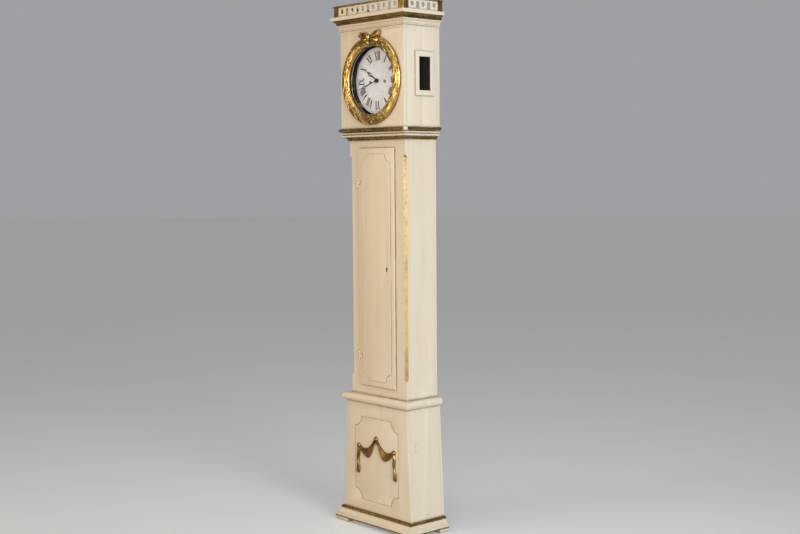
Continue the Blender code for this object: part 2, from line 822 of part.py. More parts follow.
def make_third_wheel():
    profile = arbor_profile(0.0014, BACK_PLATE[1], FRONT_PLATE[0])
    arbor = turned("third_wheel", profile, THIRD, "brass", segments=8, origin=on_arbor(THIRD))
    wheel = toothed(64, 0.0197, 0.0214, THIRD, bearing(THIRD, ESCAPE))
    pinion = leaved(8, 0.0019, 0.0037, THIRD, gap_phase(THIRD, CENTRE, 8), 0.40)
    joined(
        arbor,
        slab("third_rim", wheel, (0.1235, 0.1255), "brass"),
        slab("third_pinion", pinion, (0.0748, 0.0802), "steel"),
    )
    return arbor


def make_escape_wheel():
    profile = arbor_profile(0.0013, BACK_PLATE[1], FRONT_PLATE[0])
    arbor = turned("escape_wheel", profile, ESCAPE, "brass", segments=8, origin=on_arbor(ESCAPE))
    teeth, tip, root = 30, 0.0200, 0.0165
    outline = []
    for i in range(teeth):
        for radius, shift in ((root, 0.0), (tip, 0.35)):
            angle = 2 * math.pi * (i + shift) / teeth
            outline.append((radius * math.cos(angle), ESCAPE[1] + radius * math.sin(angle)))
    pinion = leaved(8, 0.0016, 0.0032, ESCAPE, gap_phase(ESCAPE, THIRD, 8), 0.40)
    joined(
        arbor,
        slab("escape_rim", outline, (0.0980, 0.1000), "brass"),
        slab("escape_pinion", pinion, (0.1215, 0.1275), "steel"),
    )
    return arbor


def make_pallets():
    """The anchor on its arbor, with the crutch that reaches down behind the back plate."""
    x, z = PALLETS
    half = [
        (0.0000, 0.0045),
        (0.0090, 0.0025),
        (0.0185, -0.0080),
        (0.0205, -0.0170),
        (0.0155, -0.0157),
        (0.0140, -0.0090),
        (0.0050, -0.0045),
        (0.0000, -0.0055),
    ]
    outline = [(x + u, z + v) for u, v in half + [(-u, v) for u, v in reversed(half[1:-1])]]
    profile = [
        (0.0015, 0.0605),
        (0.0015, FRONT_PLATE[0] - 0.0005),
        (0.0012, FRONT_PLATE[0] - 0.0005),
        (0.0012, FRONT_PLATE[1] - 0.0005),
    ]
    arbor = turned("anchor", profile, PALLETS, "steel", segments=8, origin=on_arbor(PALLETS))
    rod = box("crutch_rod", (-0.0013, 0.0013), (0.0610, 0.0640), (1.8020, z), "steel")
    fork = box("crutch_foot", (-0.0065, 0.0065), (0.0610, 0.0640), (1.8000, 1.8040), "steel")
    prongs = []
    for side, sign in (("left", -1), ("right", 1)):
        span = (sign * 0.0042, sign * 0.0065)
        depth = (0.0495, 0.0620)
        prongs.append(box(f"crutch_prong_{side}", span, depth, (1.8000, 1.8040), "steel"))
    joined(arbor, slab("anchor_blade", outline, (0.0965, 0.1015), "steel"), rod, fork, *prongs)
    return arbor


def make_pendulum():
    bob_z = PALLETS[1] - PENDULUM_LENGTH
    x = (-0.0030, 0.0030)
    depth = (PENDULUM_DEPTH - 0.0020, PENDULUM_DEPTH + 0.0020)
    origin = (PALLETS[0], y_at(PENDULUM_DEPTH), PALLETS[1])
    rod = box("pendulum", x, depth, (bob_z - 0.095, origin[2] - 0.012), "steel", origin=origin)
    spring_depth = (PENDULUM_DEPTH - 0.0006, PENDULUM_DEPTH + 0.0006)
    spring_z = (origin[2] - 0.013, origin[2] + 0.0050)
    spring = box("suspension_spring", (-0.0040, 0.0040), spring_depth, spring_z, "steel")
    half = 0.011
    profile = [
        (0.012, PENDULUM_DEPTH - half),
        (0.058, PENDULUM_DEPTH - 0.006),
        (0.070, PENDULUM_DEPTH),
        (0.058, PENDULUM_DEPTH + 0.006),
        (0.012, PENDULUM_DEPTH + half),
    ]
    bob = turned("pendulum_bob", profile, (0.0, bob_z), "brass", segments=28)
    nut_axis = (0.0, PENDULUM_DEPTH)
    nut = [(0.0085, bob_z - 0.088), (0.0085, bob_z - 0.080)]
    joined(rod, spring, bob, turned_upright("rating_nut", nut, nut_axis, "brass", segments=12))
    return rod


def make_barrel(name, arbor, wheel_teeth=0):
    """A line barrel on its winding arbor. The strike barrel carries its great wheel with it."""
    width = (0.0895, 0.1205)
    profile = [
        (0.0024, BACK_PLATE[1] - 0.0025),
        (0.0024, BACK_PLATE[1] + 0.0005),
        (0.0030, BACK_PLATE[1] + 0.0005),
        (0.0030, width[0]),
        (0.0250, width[0]),
        (0.0250, width[0] + 0.002),
        (DRUM_RADIUS, width[0] + 0.002),
        (DRUM_RADIUS, width[1] - 0.002),
        (0.0250, width[1] - 0.002),
        (0.0250, width[1]),
        (0.0030, width[1]),
        (0.0030, 0.1605),
    ]
    barrel = turned(name, profile, arbor, "brass", segments=20, origin=on_arbor(arbor))
    if wheel_teeth:
        outline = toothed(wheel_teeth, 0.0330, 0.0352, arbor, 0.0)
        joined(barrel, slab(f"{name}_wheel", outline, (0.0845, 0.0900), "brass"))
    return barrel


def make_motion_work():
    """The pinion and wheels under the dial that turn the hour hand twelve times slower."""
    wheel_depth = (0.1375, 0.1395)
    cannon = ring_turned(
        "cannon_pinion", 0.0023, 0.0031, (0.1370, 0.1765), CENTRE, "brass", segments=10
    )
    outline = toothed(24, 0.0106, 0.0124, CENTRE, bearing(CENTRE, MINUTE_STUD))
    joined(cannon, bored_wheel("cannon_teeth", outline, wheel_depth, CENTRE, 0.0027))

    stud_profile = [(0.0012, FRONT_PLATE[0] + 0.0005), (0.0012, 0.1445)]
    minute = turned(
        "minute_wheel", stud_profile, MINUTE_STUD, "brass", segments=8, origin=on_arbor(MINUTE_STUD)
    )
    outline = toothed(24, 0.0106, 0.0124, MINUTE_STUD, gap_phase(MINUTE_STUD, CENTRE, 24))
    leaves = leaved(6, 0.0009, 0.0023, MINUTE_STUD, gap_phase(MINUTE_STUD, CENTRE, 6), 0.30)
    joined(
        minute,
        slab("minute_rim", outline, wheel_depth, "brass"),
        slab("minute_pinion", leaves, (0.1390, 0.1440), "steel"),
    )

    hour = ring_turned(
        "hour_wheel", 0.0035, 0.0045, (0.1405, 0.1700), CENTRE, "brass", segments=10
    )
    outline = toothed(72, 0.0207, 0.0220, CENTRE, bearing(CENTRE, MINUTE_STUD))
    joined(hour, bored_wheel("hour_teeth", outline, (0.1412, 0.1427), CENTRE, 0.0040))
    return cannon, minute, hour


def ring_turned(name, inner, outer, depth, centre, material, segments=12):
    profile = [(inner, depth[0]), (outer, depth[0]), (outer, depth[1]), (inner, depth[1])]
    loops = [circle(radius, centre, d, segments) for radius, d in profile]
    return skin(name, loops, material, cyclic=True, smooth=True, origin=on_arbor(centre))


def bored_wheel(name, outline, depth, centre, bore):
    wheel = slab(name, outline, depth, "brass")
    profile = [(bore, depth[0] - 0.001), (bore, depth[1] + 0.001)]
    return cut(wheel, turned(f"{name}_bore", profile, centre, "brass", segments=10))


def hand(name, angle, depth, bore, outline):
    """A hand: a bored boss and a blade given as (along, across) points for an upright hand."""
    loops = []
    for d in depth:
        loop = []
        for along, across in outline:
            x = CENTRE[0] + along * math.sin(angle) + across * math.cos(angle)
            z = CENTRE[1] + along * math.cos(angle) - across * math.sin(angle)
            loop.append((x, y_at(d), z))
        loops.append(loop)
    boss = ring_turned(name, bore, 0.0088, depth, CENTRE, "black_steel", segments=16)
    return joined(boss, skin(f"{name}_blade", loops, "black_steel"))


def make_hands():
    hour_half = [
        (0.0060, 0.0016),
        (0.0450, 0.0014),
        (0.0500, 0.0055),
        (0.0560, 0.0070),
        (0.0600, 0.0030),
        (0.0690, 0.0028),
    ]
    minute_half = [
        (0.0060, 0.0016),
        (0.0700, 0.0013),
        (0.0760, 0.0048),
        (0.0840, 0.0060),
        (0.0890, 0.0022),
    ]
    hour = blade_outline(hour_half, 0.0800)
    minute = blade_outline(minute_half, 0.1220)
    return (
        hand("hour_hand", HOUR_HAND_ANGLE, (0.1685, 0.1697), 0.0049, hour),
        hand("minute_hand", MINUTE_HAND_ANGLE, (0.1738, 0.1750), 0.0035, minute),
    )


def blade_outline(half, tip):
    return half + [(tip, 0.0)] + [(along, -across) for along, across in reversed(half)]


def make_dial():
    hole = 0.0050
    back, front = DIAL_FRONT_DEPTH - 0.003, DIAL_FRONT_DEPTH
    profile = [(DIAL_RADIUS, back), (DIAL_RADIUS, front - 0.001), (DIAL_RADIUS - 0.002, front)]
    dial = turned("dial", profile, CENTRE, "enamel", segments=48)
    holes = [(centre, hole) for centre in (CENTRE, GOING_BARREL, STRIKE_BARREL)]
    drill(dial, (back, front), holes, segments=12)
    for i, centre in enumerate(((-0.055, 1.815), (0.055, 1.815), (0.0, 1.965))):
        foot = [(0.003, FRONT_PLATE[1] + GAP), (0.003, back + 0.001)]
        joined(dial, turned(f"dial_foot_{i}", foot, centre, "brass", segments=8))


def make_hammer():
    x, z = HAMMER_ARBOR
    profile = arbor_profile(0.0020, BACK_PLATE[1], FRONT_PLATE[0])
    origin = on_arbor(HAMMER_ARBOR)
    arbor = turned("hammer", profile, HAMMER_ARBOR, "steel", segments=8, origin=origin)
    depth = (0.0785, 0.0815)
    shank = [(x - 0.0015, z), (x + 0.0015, z), (x + 0.0085, 2.0120), (x + 0.0045, 2.0120)]
    head_x = (x - 0.001, -0.0395)
    tail = [(x - 0.001, z + 0.001), (x - 0.001, z - 0.001), (x + 0.018, z - 0.012)]
    joined(
        arbor,
        slab("hammer_shank", shank, depth, "steel"),
        box("hammer_head", head_x, (0.0750, 0.0850), (2.0060, 2.0160), "steel"),
        slab("hammer_tail", tail, (0.1120, 0.1150), "steel"),
    )
    return arbor


def make_weight(name, arbor):
    """A cylindrical weight hanging from a stirrup, whose pin carries the pulley."""
    x = arbor[0]
    axis = (x, LINE_DEPTH)
    top = PULLEY_Z - 0.052
    profile = [
        (WEIGHT_RADIUS, top - WEIGHT_LENGTH),
        (WEIGHT_RADIUS, top - 0.004),
        (WEIGHT_RADIUS - 0.004, top),
        (0.0030, top),
        (0.0030, PULLEY_Z - 0.0345),
    ]
    origin = (x, y_at(LINE_DEPTH), PULLEY_Z)
    weight = turned_upright(name, profile, axis, "lead", segments=20, origin=origin)
    span = (x - 0.005, x + 0.005)
    bridge_depth = (LINE_DEPTH - 0.0070, LINE_DEPTH + 0.0070)
    bridge_z = (PULLEY_Z - 0.0360, PULLEY_Z - 0.0320)
    straps = [box(f"{name}_bridge", span, bridge_depth, bridge_z, "brass")]
    for i, sign in enumerate((-1, 1)):
        depth = (LINE_DEPTH + sign * 0.0050, LINE_DEPTH + sign * 0.0070)
        z = (PULLEY_Z - 0.0340, PULLEY_Z + 0.0060)
        straps.append(box(f"{name}_strap_{i}", span, depth, z, "brass"))
    pin = [(0.0024, LINE_DEPTH - 0.0065), (0.0024, LINE_DEPTH + 0.0065)]
    straps.append(turned(f"{name}_pin", pin, (x, PULLEY_Z), "steel", segments=8))
    joined(weight, *straps)
    return weight


def make_pulley(name, arbor):
    centre = (arbor[0], PULLEY_Z)
    groove = DRUM_RADIUS
    rim = groove + 0.0035
    profile = [
        (0.0030, LINE_DEPTH - 0.0040),
        (rim, LINE_DEPTH - 0.0040),
        (groove, LINE_DEPTH - 0.0014),
        (groove, LINE_DEPTH + 0.0014),
        (rim, LINE_DEPTH + 0.0040),
        (0.0030, LINE_DEPTH + 0.0040),
    ]
    loops = [circle(radius, centre, depth, 20) for radius, depth in profile]
    origin = on_arbor(centre)
    return skin(name, loops, "brass", cyclic=True, smooth=True, origin=origin)


def make_line(name, arbor):
    """The weight line: down from the barrel, round under the pulley and up to the seatboard."""
    wound, tied = line_legs(arbor)
    middle, radius = (wound + tied) / 2, (tied - wound) / 2
    points = [(wound, arbor[1])]
    points += arc((middle, PULLEY_Z), radius, -180, 0, 10)
    points.append((tied, SEATBOARD_TOP_Z + 0.0035))
    curve = bpy.data.curves.new(name, "CURVE")
    curve.dimensions = "3D"
    curve.bevel_depth = LINE_RADIUS
    curve.bevel_resolution = 1
    curve.use_fill_caps = True
    spline = curve.splines.new("POLY")
    spline.points.add(len(points) - 1)
    for point, (px, pz) in zip(spline.points, points):
        point.co = (px, y_at(LINE_DEPTH), pz, 1.0)
    curve.materials.append(bpy.data.materials["gut"])
    line = bpy.data.objects.new(name, curve)
    bpy.context.collection.objects.link(line)
    return line


# ---- assembly ------------------------------------------------------------------------------------
def clear_scene():
    for piece in list(bpy.data.objects):
        bpy.data.objects.remove(piece, do_unlink=True)


def build_case():
    make_feet()
    make_base_moulding()
    make_plinth()
    make_swag()
    make_waist_moulding()
    make_trunk_frame()
    make_trunk_sides()
    make_backboard()
    make_trunk_top_moulding()
    make_seatboard()
    door_pieces = make_trunk_door() + make_door_hinges()
    axis_x, axis_depth = TRUNK_DOOR_AXIS
    pivot("trunk_door_axis", (axis_x, y_at(axis_depth), 1.1), *door_pieces)


def build_hood():
    door_pieces = make_hood_door()
    axis_x, axis_depth = HOOD_DOOR_AXIS
    door_axis = pivot("hood_door_axis", (axis_x, y_at(axis_depth), CENTRE[1]), *door_pieces)
    pivot("hood_slide", (0.0, y_at(0.0), HOOD_SEAT_Z), *make_hood(), door_axis)


def build_movement():
    make_plates()
    make_bell()
    make_dial()
    make_centre_wheel()
    make_great_wheel()
    make_third_wheel()
    make_escape_wheel()
    make_hammer()
    make_pallets()
    make_pendulum()
    cannon, _, hour_wheel = make_motion_work()
    hour_hand, minute_hand = make_hands()
    pivot("minute_arbor", on_arbor(CENTRE), cannon, minute_hand)
    pivot("hour_arbor", on_arbor(CENTRE), hour_wheel, hour_hand)
    make_barrel("going_barrel", GOING_BARREL)
    make_barrel("strike_barrel", STRIKE_BARREL, wheel_teeth=78)


def build_weights():
    for label, arbor in (("going", GOING_BARREL), ("strike", STRIKE_BARREL)):
        weight = make_weight(f"{label}_weight", arbor)
        pulley = make_pulley(f"{label}_pulley", arbor)
        pivot(f"{label}_weight_slide", (arbor[0], y_at(LINE_DEPTH), PULLEY_Z), weight, pulley)
        make_line(f"{label}_line", arbor)


def main():
    clear_scene()
    make_materials()
    build_case()
    build_hood()
    build_movement()
    build_weights()


main()
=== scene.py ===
import json
import math

import bmesh
import bpy
import numpy as np
from mathutils import Matrix, Vector


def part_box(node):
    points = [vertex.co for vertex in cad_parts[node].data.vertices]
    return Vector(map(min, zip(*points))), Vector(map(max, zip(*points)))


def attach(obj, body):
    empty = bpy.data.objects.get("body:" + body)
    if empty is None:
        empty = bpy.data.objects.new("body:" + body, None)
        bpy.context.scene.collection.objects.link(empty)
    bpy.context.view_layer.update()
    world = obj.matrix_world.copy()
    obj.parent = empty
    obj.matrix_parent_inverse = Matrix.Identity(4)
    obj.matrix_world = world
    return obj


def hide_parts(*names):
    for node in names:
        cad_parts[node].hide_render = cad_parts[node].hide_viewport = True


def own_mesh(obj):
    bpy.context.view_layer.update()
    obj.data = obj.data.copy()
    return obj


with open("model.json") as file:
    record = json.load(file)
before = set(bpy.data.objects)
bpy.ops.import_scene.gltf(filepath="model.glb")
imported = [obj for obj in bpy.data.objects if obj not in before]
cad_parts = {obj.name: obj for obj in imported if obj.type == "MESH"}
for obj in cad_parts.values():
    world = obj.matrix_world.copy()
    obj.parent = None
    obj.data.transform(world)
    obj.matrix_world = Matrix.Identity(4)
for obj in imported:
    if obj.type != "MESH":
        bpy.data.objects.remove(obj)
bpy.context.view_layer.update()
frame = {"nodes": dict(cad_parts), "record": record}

# Depths are counted forwards from the clock's back plane, as in the CAD source.
BACK_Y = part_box("backboard")[1].y
HOOD_HALF, HOOD_DEPTH = 0.199, 0.198
HOOD_BOARD, HOOD_DOOR = 0.016, 0.0147  # thicknesses
HOOD_BOTTOM, HOOD_TOP, HOOD_DOOR_TOP = 1.6853, 2.0925, 2.0815
HOOD_BEAD = (1.6714, 1.6849)
TRUNK_HALF, TRUNK_DEPTH = 0.174, 0.172
PLINTH_TOP_HALF, PLINTH_BASE_HALF, PLINTH_DEPTH = 0.190, 0.214, 0.190
WALL_GAP = 0.0004  # between a moulding and the wall it is nailed to

CENTRE = (0.0, 1.880)
DIAL_RADIUS, DIAL_THICKNESS, DIAL_FACE = 0.1375, 0.0030, 0.1650
MINUTE_TRACK = (0.1262, 0.1302)
MINUTE_ANGLE, HOUR_ANGLE = math.radians(253), math.radians(303)

BARREL_X, BARREL_Z = 0.046, 1.875
DRUM_RADIUS = 0.022
AXLE_Z = 0.395  # of the weights' pulleys, with the weights down
LINE_DEPTH, LINE_RADIUS, LINE_GAP = 0.105, 0.001, 0.0003
LINE_TIED_Z = 1.7985  # just above the seatboard
PENDULUM_DEPTH, PENDULUM_LENGTH = 0.054, 0.994
SPRING_TOP = 0.005  # of the pendulum, above the point it swings about
BELL_DEPTH = 0.0715
ON_AXIS = 1e-5  # radius at which a turned shape closes

FRONT, LEFT, RIGHT = "front", "left", "right"
SIDES = ((LEFT, -1), (RIGHT, 1))


def y_at(depth):
    return BACK_Y - depth


# ---- materials ----------------------------------------------------------------------------------
class Paint:
    """Builds one procedural material; patterns live in the piece's own coordinates."""

    def __init__(self, name):
        self.material = bpy.data.materials.new(name)
        self.material.use_nodes = True
        self.tree = self.material.node_tree
        self.shader = self.tree.nodes["Principled BSDF"]
        self.output = self.tree.nodes["Material Output"]
        self.place = self.node("TexCoord").outputs["Object"]

    def node(self, kind, **inputs):
        """A new node; values and colours go to its inputs by name."""
        node = self.tree.nodes.new("ShaderNode" + kind)
        for name, value in inputs.items():
            self.link(value, node.inputs[name.replace("_", " ")])
        return node

    def link(self, source, socket):
        if hasattr(source, "is_output"):
            self.tree.links.new(source, socket)
        else:
            socket.default_value = source

    def set(self, **values):
        for name, value in values.items():
            self.link(value, self.shader.inputs[name.replace("_", " ")])

    def scaled(self, stretch):
        return self.node("Mapping", Vector=self.place, Scale=stretch).outputs["Vector"]

    def noise(self, scale, detail=4.0, roughness=0.55, stretch=(1, 1, 1), distortion=0.0):
        node = self.node("TexNoise", Vector=self.scaled(stretch), Scale=scale)
        node.inputs["Detail"].default_value = detail
        node.inputs["Roughness"].default_value = roughness
        node.inputs["Distortion"].default_value = distortion
        return node.outputs["Fac"]

    def cracks(self, scale, stretch=(1, 1, 1), bend=0.0):
        """Distance to the nearest crack; the cracks wander by up to the bend."""
        vector = self.scaled(stretch)
        if bend:
            noise = self.node("TexNoise", Vector=self.place, Scale=scale)
            wander = self.node("VectorMath")
            wander.operation = "MULTIPLY_ADD"
            self.link(noise.outputs["Color"], wander.inputs[0])
            wander.inputs[1].default_value = (bend, bend, bend)
            self.link(vector, wander.inputs[2])
            vector = wander.outputs["Vector"]
        node = self.node("TexVoronoi")
        node.feature = "DISTANCE_TO_EDGE"
        self.link(vector, node.inputs["Vector"])
        node.inputs["Scale"].default_value = scale
        return node.outputs["Distance"]

    def waves(self, scale, direction, distortion, stretch=(1, 1, 1)):
        node = self.node("TexWave", Vector=self.scaled(stretch), Scale=scale, Detail=3.0)
        node.bands_direction = direction
        node.inputs["Distortion"].default_value = distortion
        return node.outputs["Fac"]

    def between(self, value, low, high, start=0.0, end=1.0):
        """A smooth step from start to end as the value goes from low to high."""
        limits = {"From_Min": low, "From_Max": high, "To_Min": start, "To_Max": end}
        node = self.node("MapRange", Value=value, **limits)
        node.interpolation_type = "SMOOTHSTEP"
        return node.outputs["Result"]

    def patchy(self, scale, start, end, detail=4.0):
        """A value that wanders from start to end over the surface."""
        return self.between(self.noise(scale, detail), 0.3, 0.7, start, end)

    def math(self, operation, first, second, clamp=True):
        node = self.node("Math")
        node.operation = operation
        node.use_clamp = clamp
        self.link(first, node.inputs[0])
        self.link(second, node.inputs[1])
        return node.outputs["Value"]

    def times(self, first, second):
        return self.math("MULTIPLY", first, second)

    def vector(self, operation, first, second=(0, 0, 0), output="Value"):
        node = self.node("VectorMath")
        node.operation = operation
        self.link(first, node.inputs[0])
        self.link(second, node.inputs[1])
        return node.outputs[output]

    def mix(self, share, first, second):
        node = self.node("Mix")
        node.data_type = "RGBA"
        self.link(share, node.inputs["Factor"])
        for socket, colour in (("A", first), ("B", second)):
            target = [s for s in node.inputs if s.name == socket and s.type == "RGBA"][0]
            self.link(colour if hasattr(colour, "is_output") else (*colour, 1.0), target)
        return [s for s in node.outputs if s.type == "RGBA"][0]

    def over(self, colour, share, most, tint):
        """The colour with a tint laid over it, up to the most that it may cover."""
        return self.mix(self.times(share, most), colour, tint)

    def bump(self, height, strength, distance, under=None):
        node = self.node("Bump", Height=height, Strength=strength, Distance=distance)
        if under is not None:
            self.link(under, node.inputs["Normal"])
        return node.outputs["Normal"]

    def own_normal(self):
        """The face's normal in the piece's own coordinates, which turn with it."""
        normal = self.node("NewGeometry").outputs["True Normal"]
        turn = self.node("VectorTransform", Vector=normal)
        turn.vector_type = "NORMAL"
        turn.convert_from, turn.convert_to = "WORLD", "OBJECT"
        return turn.outputs["Vector"]

    def outward(self):
        """Above 0 where a face looks away from the clock's upright middle line, below 0 inside."""
        return self.vector("DOT_PRODUCT", self.scaled((1, 1, 0)), self.own_normal())

    def part_of(self, source, axis):
        return self.node("SeparateXYZ", Vector=source).outputs[axis]

    def crevice(self, distance):
        """1 in a corner or groove, 0 in the open."""
        node = self.node("AmbientOcclusion", Distance=distance)
        node.samples = 6
        return self.between(node.outputs["AO"], 0.40, 0.96, 1.0, 0.0)

    def edge(self, radius):
        """1 along a sharp edge, 0 on a flat."""
        bevel = self.node("Bevel", Radius=radius)
        bevel.samples = 4
        flat = self.node("NewGeometry").outputs["Normal"]
        same = self.vector("DOT_PRODUCT", bevel.outputs["Normal"], flat)
        return self.between(same, 0.80, 0.985, 1.0, 0.0)


def scaled_colour(colour, factor):
    return tuple(c * factor for c in colour)


def paint_colour(p, reach=0.0120):
    """Old oil paint: its colour with grime and painted shade in its corners, and the bump of its
    brushing, crazing and rubbed edges.
    """
    colour = p.mix(p.noise(2.4, 5), (0.770, 0.665, 0.515), (0.700, 0.575, 0.410))
    streaks = p.between(p.noise(5, 6, 0.6, (5, 5, 0.3)), 0.46, 0.76)
    colour = p.over(colour, streaks, 0.26, (0.600, 0.465, 0.300))
    pale = p.between(p.noise(4, 6, 0.65, (2.5, 2.5, 0.35), 0.6), 0.55, 0.74)
    colour = p.over(colour, pale, 0.45, (0.860, 0.790, 0.650))
    specks = p.between(p.noise(190, 3, 0.7), 0.69, 0.78)
    colour = p.over(colour, specks, 0.45, (0.340, 0.220, 0.110))
    patches = p.between(p.noise(7, 3), 0.52, 0.66)
    lines = p.between(p.cracks(85, (1.6, 1.6, 0.35), 0.006), 0.0, 0.035, 1.0, 0.0)
    crazing = p.times(lines, patches)
    colour = p.over(colour, crazing, 0.16, (0.420, 0.300, 0.170))
    # painted shade mixed with grime: corners, grooves and gaps darkened through an
    # ambient-occlusion mask
    grime_and_shade = p.times(p.crevice(reach), p.between(p.noise(26, 4), 0.25, 0.60, 0.60, 1.0))
    colour = p.over(colour, grime_and_shade, 0.95, (0.150, 0.082, 0.032))
    rubbed = p.times(p.edge(0.0022), p.between(p.noise(34, 5, 0.7), 0.44, 0.60))
    colour = p.over(colour, rubbed, 0.55, (0.420, 0.280, 0.140))
    brushed = p.bump(p.noise(40, 4, 0.6, (8, 8, 0.35)), 0.12, 0.0006)
    chipped = p.bump(p.math("ADD", crazing, rubbed), -0.30, 0.0005, brushed)
    return colour, p.bump(p.noise(14, 3), 0.10, 0.0020, chipped)


def pine_colour(p, scale=1.0):
    """Old bare pine, darker as the scale falls: its colour and the bump of its grain."""
    light, dark, line, dusty, knot = (
        scaled_colour(colour, scale)
        for colour in (
            (0.420, 0.262, 0.130), (0.285, 0.160, 0.070), (0.160, 0.085, 0.036),
            (0.250, 0.195, 0.140), (0.130, 0.062, 0.026),
        )
    )
    rings = p.times(p.waves(9, "X", 9.0, (1.0, 1.0, 0.07)), p.patchy(8, 0.35, 0.8))
    fine = p.noise(45, 5, 0.65, (5, 5, 0.18))
    colour = p.mix(rings, light, dark)
    colour = p.over(colour, p.between(fine, 0.45, 0.70), 0.5, line)
    dust = p.between(p.noise(6, 5, 0.6), 0.48, 0.70)
    colour = p.over(colour, dust, 0.35, dusty)
    knots = p.between(p.cracks(4.2, (1, 1, 0.5)), 0.30, 0.42)
    colour = p.over(colour, knots, 0.5, knot)
    return colour, p.bump(rings, 0.10, 0.0010, p.bump(fine, 0.35, 0.0006))


def cream_paint(name="cream_paint", reach=0.0120):
    """Painted wood; grime and painted shade darken it as far as the reach from its inner corners.
    """
    p = Paint(name)
    colour, normal = paint_colour(p, reach)
    p.set(Base_Color=colour, Normal=normal, Roughness=p.patchy(60, 0.40, 0.60))
    return p.material


def case_board(name, bare, pine=0.55):
    """A board painted on its show faces only; bare gives 1 where the wood was left unpainted."""
    p = Paint(name)
    colour, normal = paint_colour(p)
    wood, _ = pine_colour(p, pine)
    share = bare(p)
    p.set(Base_Color=p.mix(share, colour, wood), Normal=normal)
    p.set(Roughness=p.math("ADD", p.patchy(60, 0.40, 0.60), p.times(share, 0.2)))
    return p.material


def shadowed_lining():
    """A near-black lining on the edge of the dial opening: painted shadow on the hole's wall."""
    p = Paint("shadowed_lining")
    p.set(Base_Color=p.mix(p.noise(40, 4), (0.020, 0.017, 0.015), (0.045, 0.034, 0.026)))
    p.set(Roughness=p.patchy(60, 0.75, 0.95), Specular_IOR_Level=0.15)
    p.set(Normal=p.bump(p.noise(90, 4), 0.3, 0.0006))
    return p.material


def knotted_board():
    """The plinth's right side, where an oval knot shows through the paint."""
    p = Paint("plinth_side_paint")
    colour, normal = paint_colour(p)
    across = p.part_of(p.place, "Y")
    up = p.part_of(p.place, "Z")
    squares = []
    for value, middle, radius in ((across, y_at(0.142), 0.0105), (up, 0.365, 0.0165)):
        ratio = p.math("DIVIDE", p.math("SUBTRACT", value, middle, False), radius, False)
        squares.append(p.math("POWER", ratio, 2.0, False))
    total = p.math("ADD", *squares, False)
    rise = p.between(total, 0.55, 0.95)
    fall = p.between(total, 1.05, 1.55, 1.0, 0.0)
    ring = p.times(p.times(rise, fall), p.between(across, -0.03, -0.02, 1.0, 0.0))
    colour = p.over(colour, ring, 0.60, (0.450, 0.320, 0.190))
    wood, _ = pine_colour(p, 0.55)
    colour = p.mix(inside_face(p), colour, wood)
    p.set(Base_Color=colour, Normal=p.bump(ring, -0.4, 0.0008, normal))
    p.set(Roughness=p.patchy(60, 0.40, 0.60))
    return p.material


def painted_hinge():
    """A brass hinge painted over with the case, its brass grinning through at the edges."""
    p = Paint("painted_hinge")
    colour, normal = paint_colour(p)
    bare = p.times(p.edge(0.0012), p.between(p.noise(90, 5, 0.7), 0.50, 0.62))
    colour = p.mix(bare, colour, (0.330, 0.200, 0.075))
    p.set(Base_Color=colour, Normal=normal, Metallic=p.times(bare, 0.8))
    p.set(Roughness=p.patchy(60, 0.38, 0.56))
    return p.material


def gilding(
    name="gilding", light=(0.850, 0.600, 0.220), deep=(0.560, 0.350, 0.090), dirt_share=0.35,
    rough=0.18,
):
    p = Paint(name)
    gold = p.mix(p.between(p.noise(30, 6, 0.65), 0.30, 0.70), light, deep)
    rubbed = p.between(p.noise(72, 6, 0.72), 0.57, 0.66)
    dirt = p.between(p.noise(9, 6, 0.65), 0.44, 0.66)
    worn = p.mix(p.noise(11), (0.170, 0.056, 0.020), (0.110, 0.070, 0.024))
    bare = p.times(rubbed, p.math("MAXIMUM", p.edge(0.0010), 0.55))
    colour = p.mix(bare, gold, worn)
    colour = p.mix(p.times(dirt, dirt_share), colour, (0.085, 0.048, 0.014))
    # painted shade: the carving's crevices darkened almost to black and made less metallic
    dark = p.times(p.crevice(0.0055), 0.96)
    colour = p.mix(dark, colour, (0.022, 0.012, 0.005))
    p.set(Base_Color=colour)
    p.set(Metallic=p.between(p.math("MAXIMUM", bare, dark), 0.1, 0.9, 1.0, 0.12))
    p.set(Roughness=p.patchy(90, rough, rough + 0.18))
    leaf = p.bump(p.noise(150, 5, 0.65), 0.16, 0.0006)
    p.set(Normal=p.bump(p.noise(34, 3), 0.16, 0.0016, p.bump(rubbed, -0.25, 0.0003, leaf)))
    return p.material


def dial_enamel():
    p = Paint("dial_enamel")
    colour = p.mix(p.noise(13, 4), (0.630, 0.612, 0.690), (0.560, 0.540, 0.620))
    stain = p.between(p.noise(24, 5, 0.7), 0.60, 0.78)
    colour = p.over(colour, stain, 0.35, (0.480, 0.430, 0.370))
    hair = p.between(p.cracks(20), 0.0, 0.006, 1.0, 0.0)
    hair = p.times(hair, p.between(p.noise(15, 2), 0.56, 0.64))
    colour = p.over(colour, hair, 0.5, (0.300, 0.270, 0.240))
    # painted shade: enamel darkened in its hollows and beside the raised marks
    colour = p.over(colour, p.crevice(0.004), 0.5, (0.280, 0.230, 0.170))
    p.set(Base_Color=colour, Roughness=p.patchy(70, 0.20, 0.34))
    p.set(Coat_Weight=0.35, Coat_Roughness=0.12)
    p.set(Normal=p.bump(p.noise(40, 3), 0.12, 0.0008))
    return p.material


BRASS, DEEP_BRASS = (0.760, 0.520, 0.200), (0.600, 0.380, 0.130)
BRUSHED = (0.4, 0.4, 4)  # stretch of fine scratches along a piece
HINGE_LEAVES = ("upper_frame", "upper_door", "lower_frame", "lower_door")


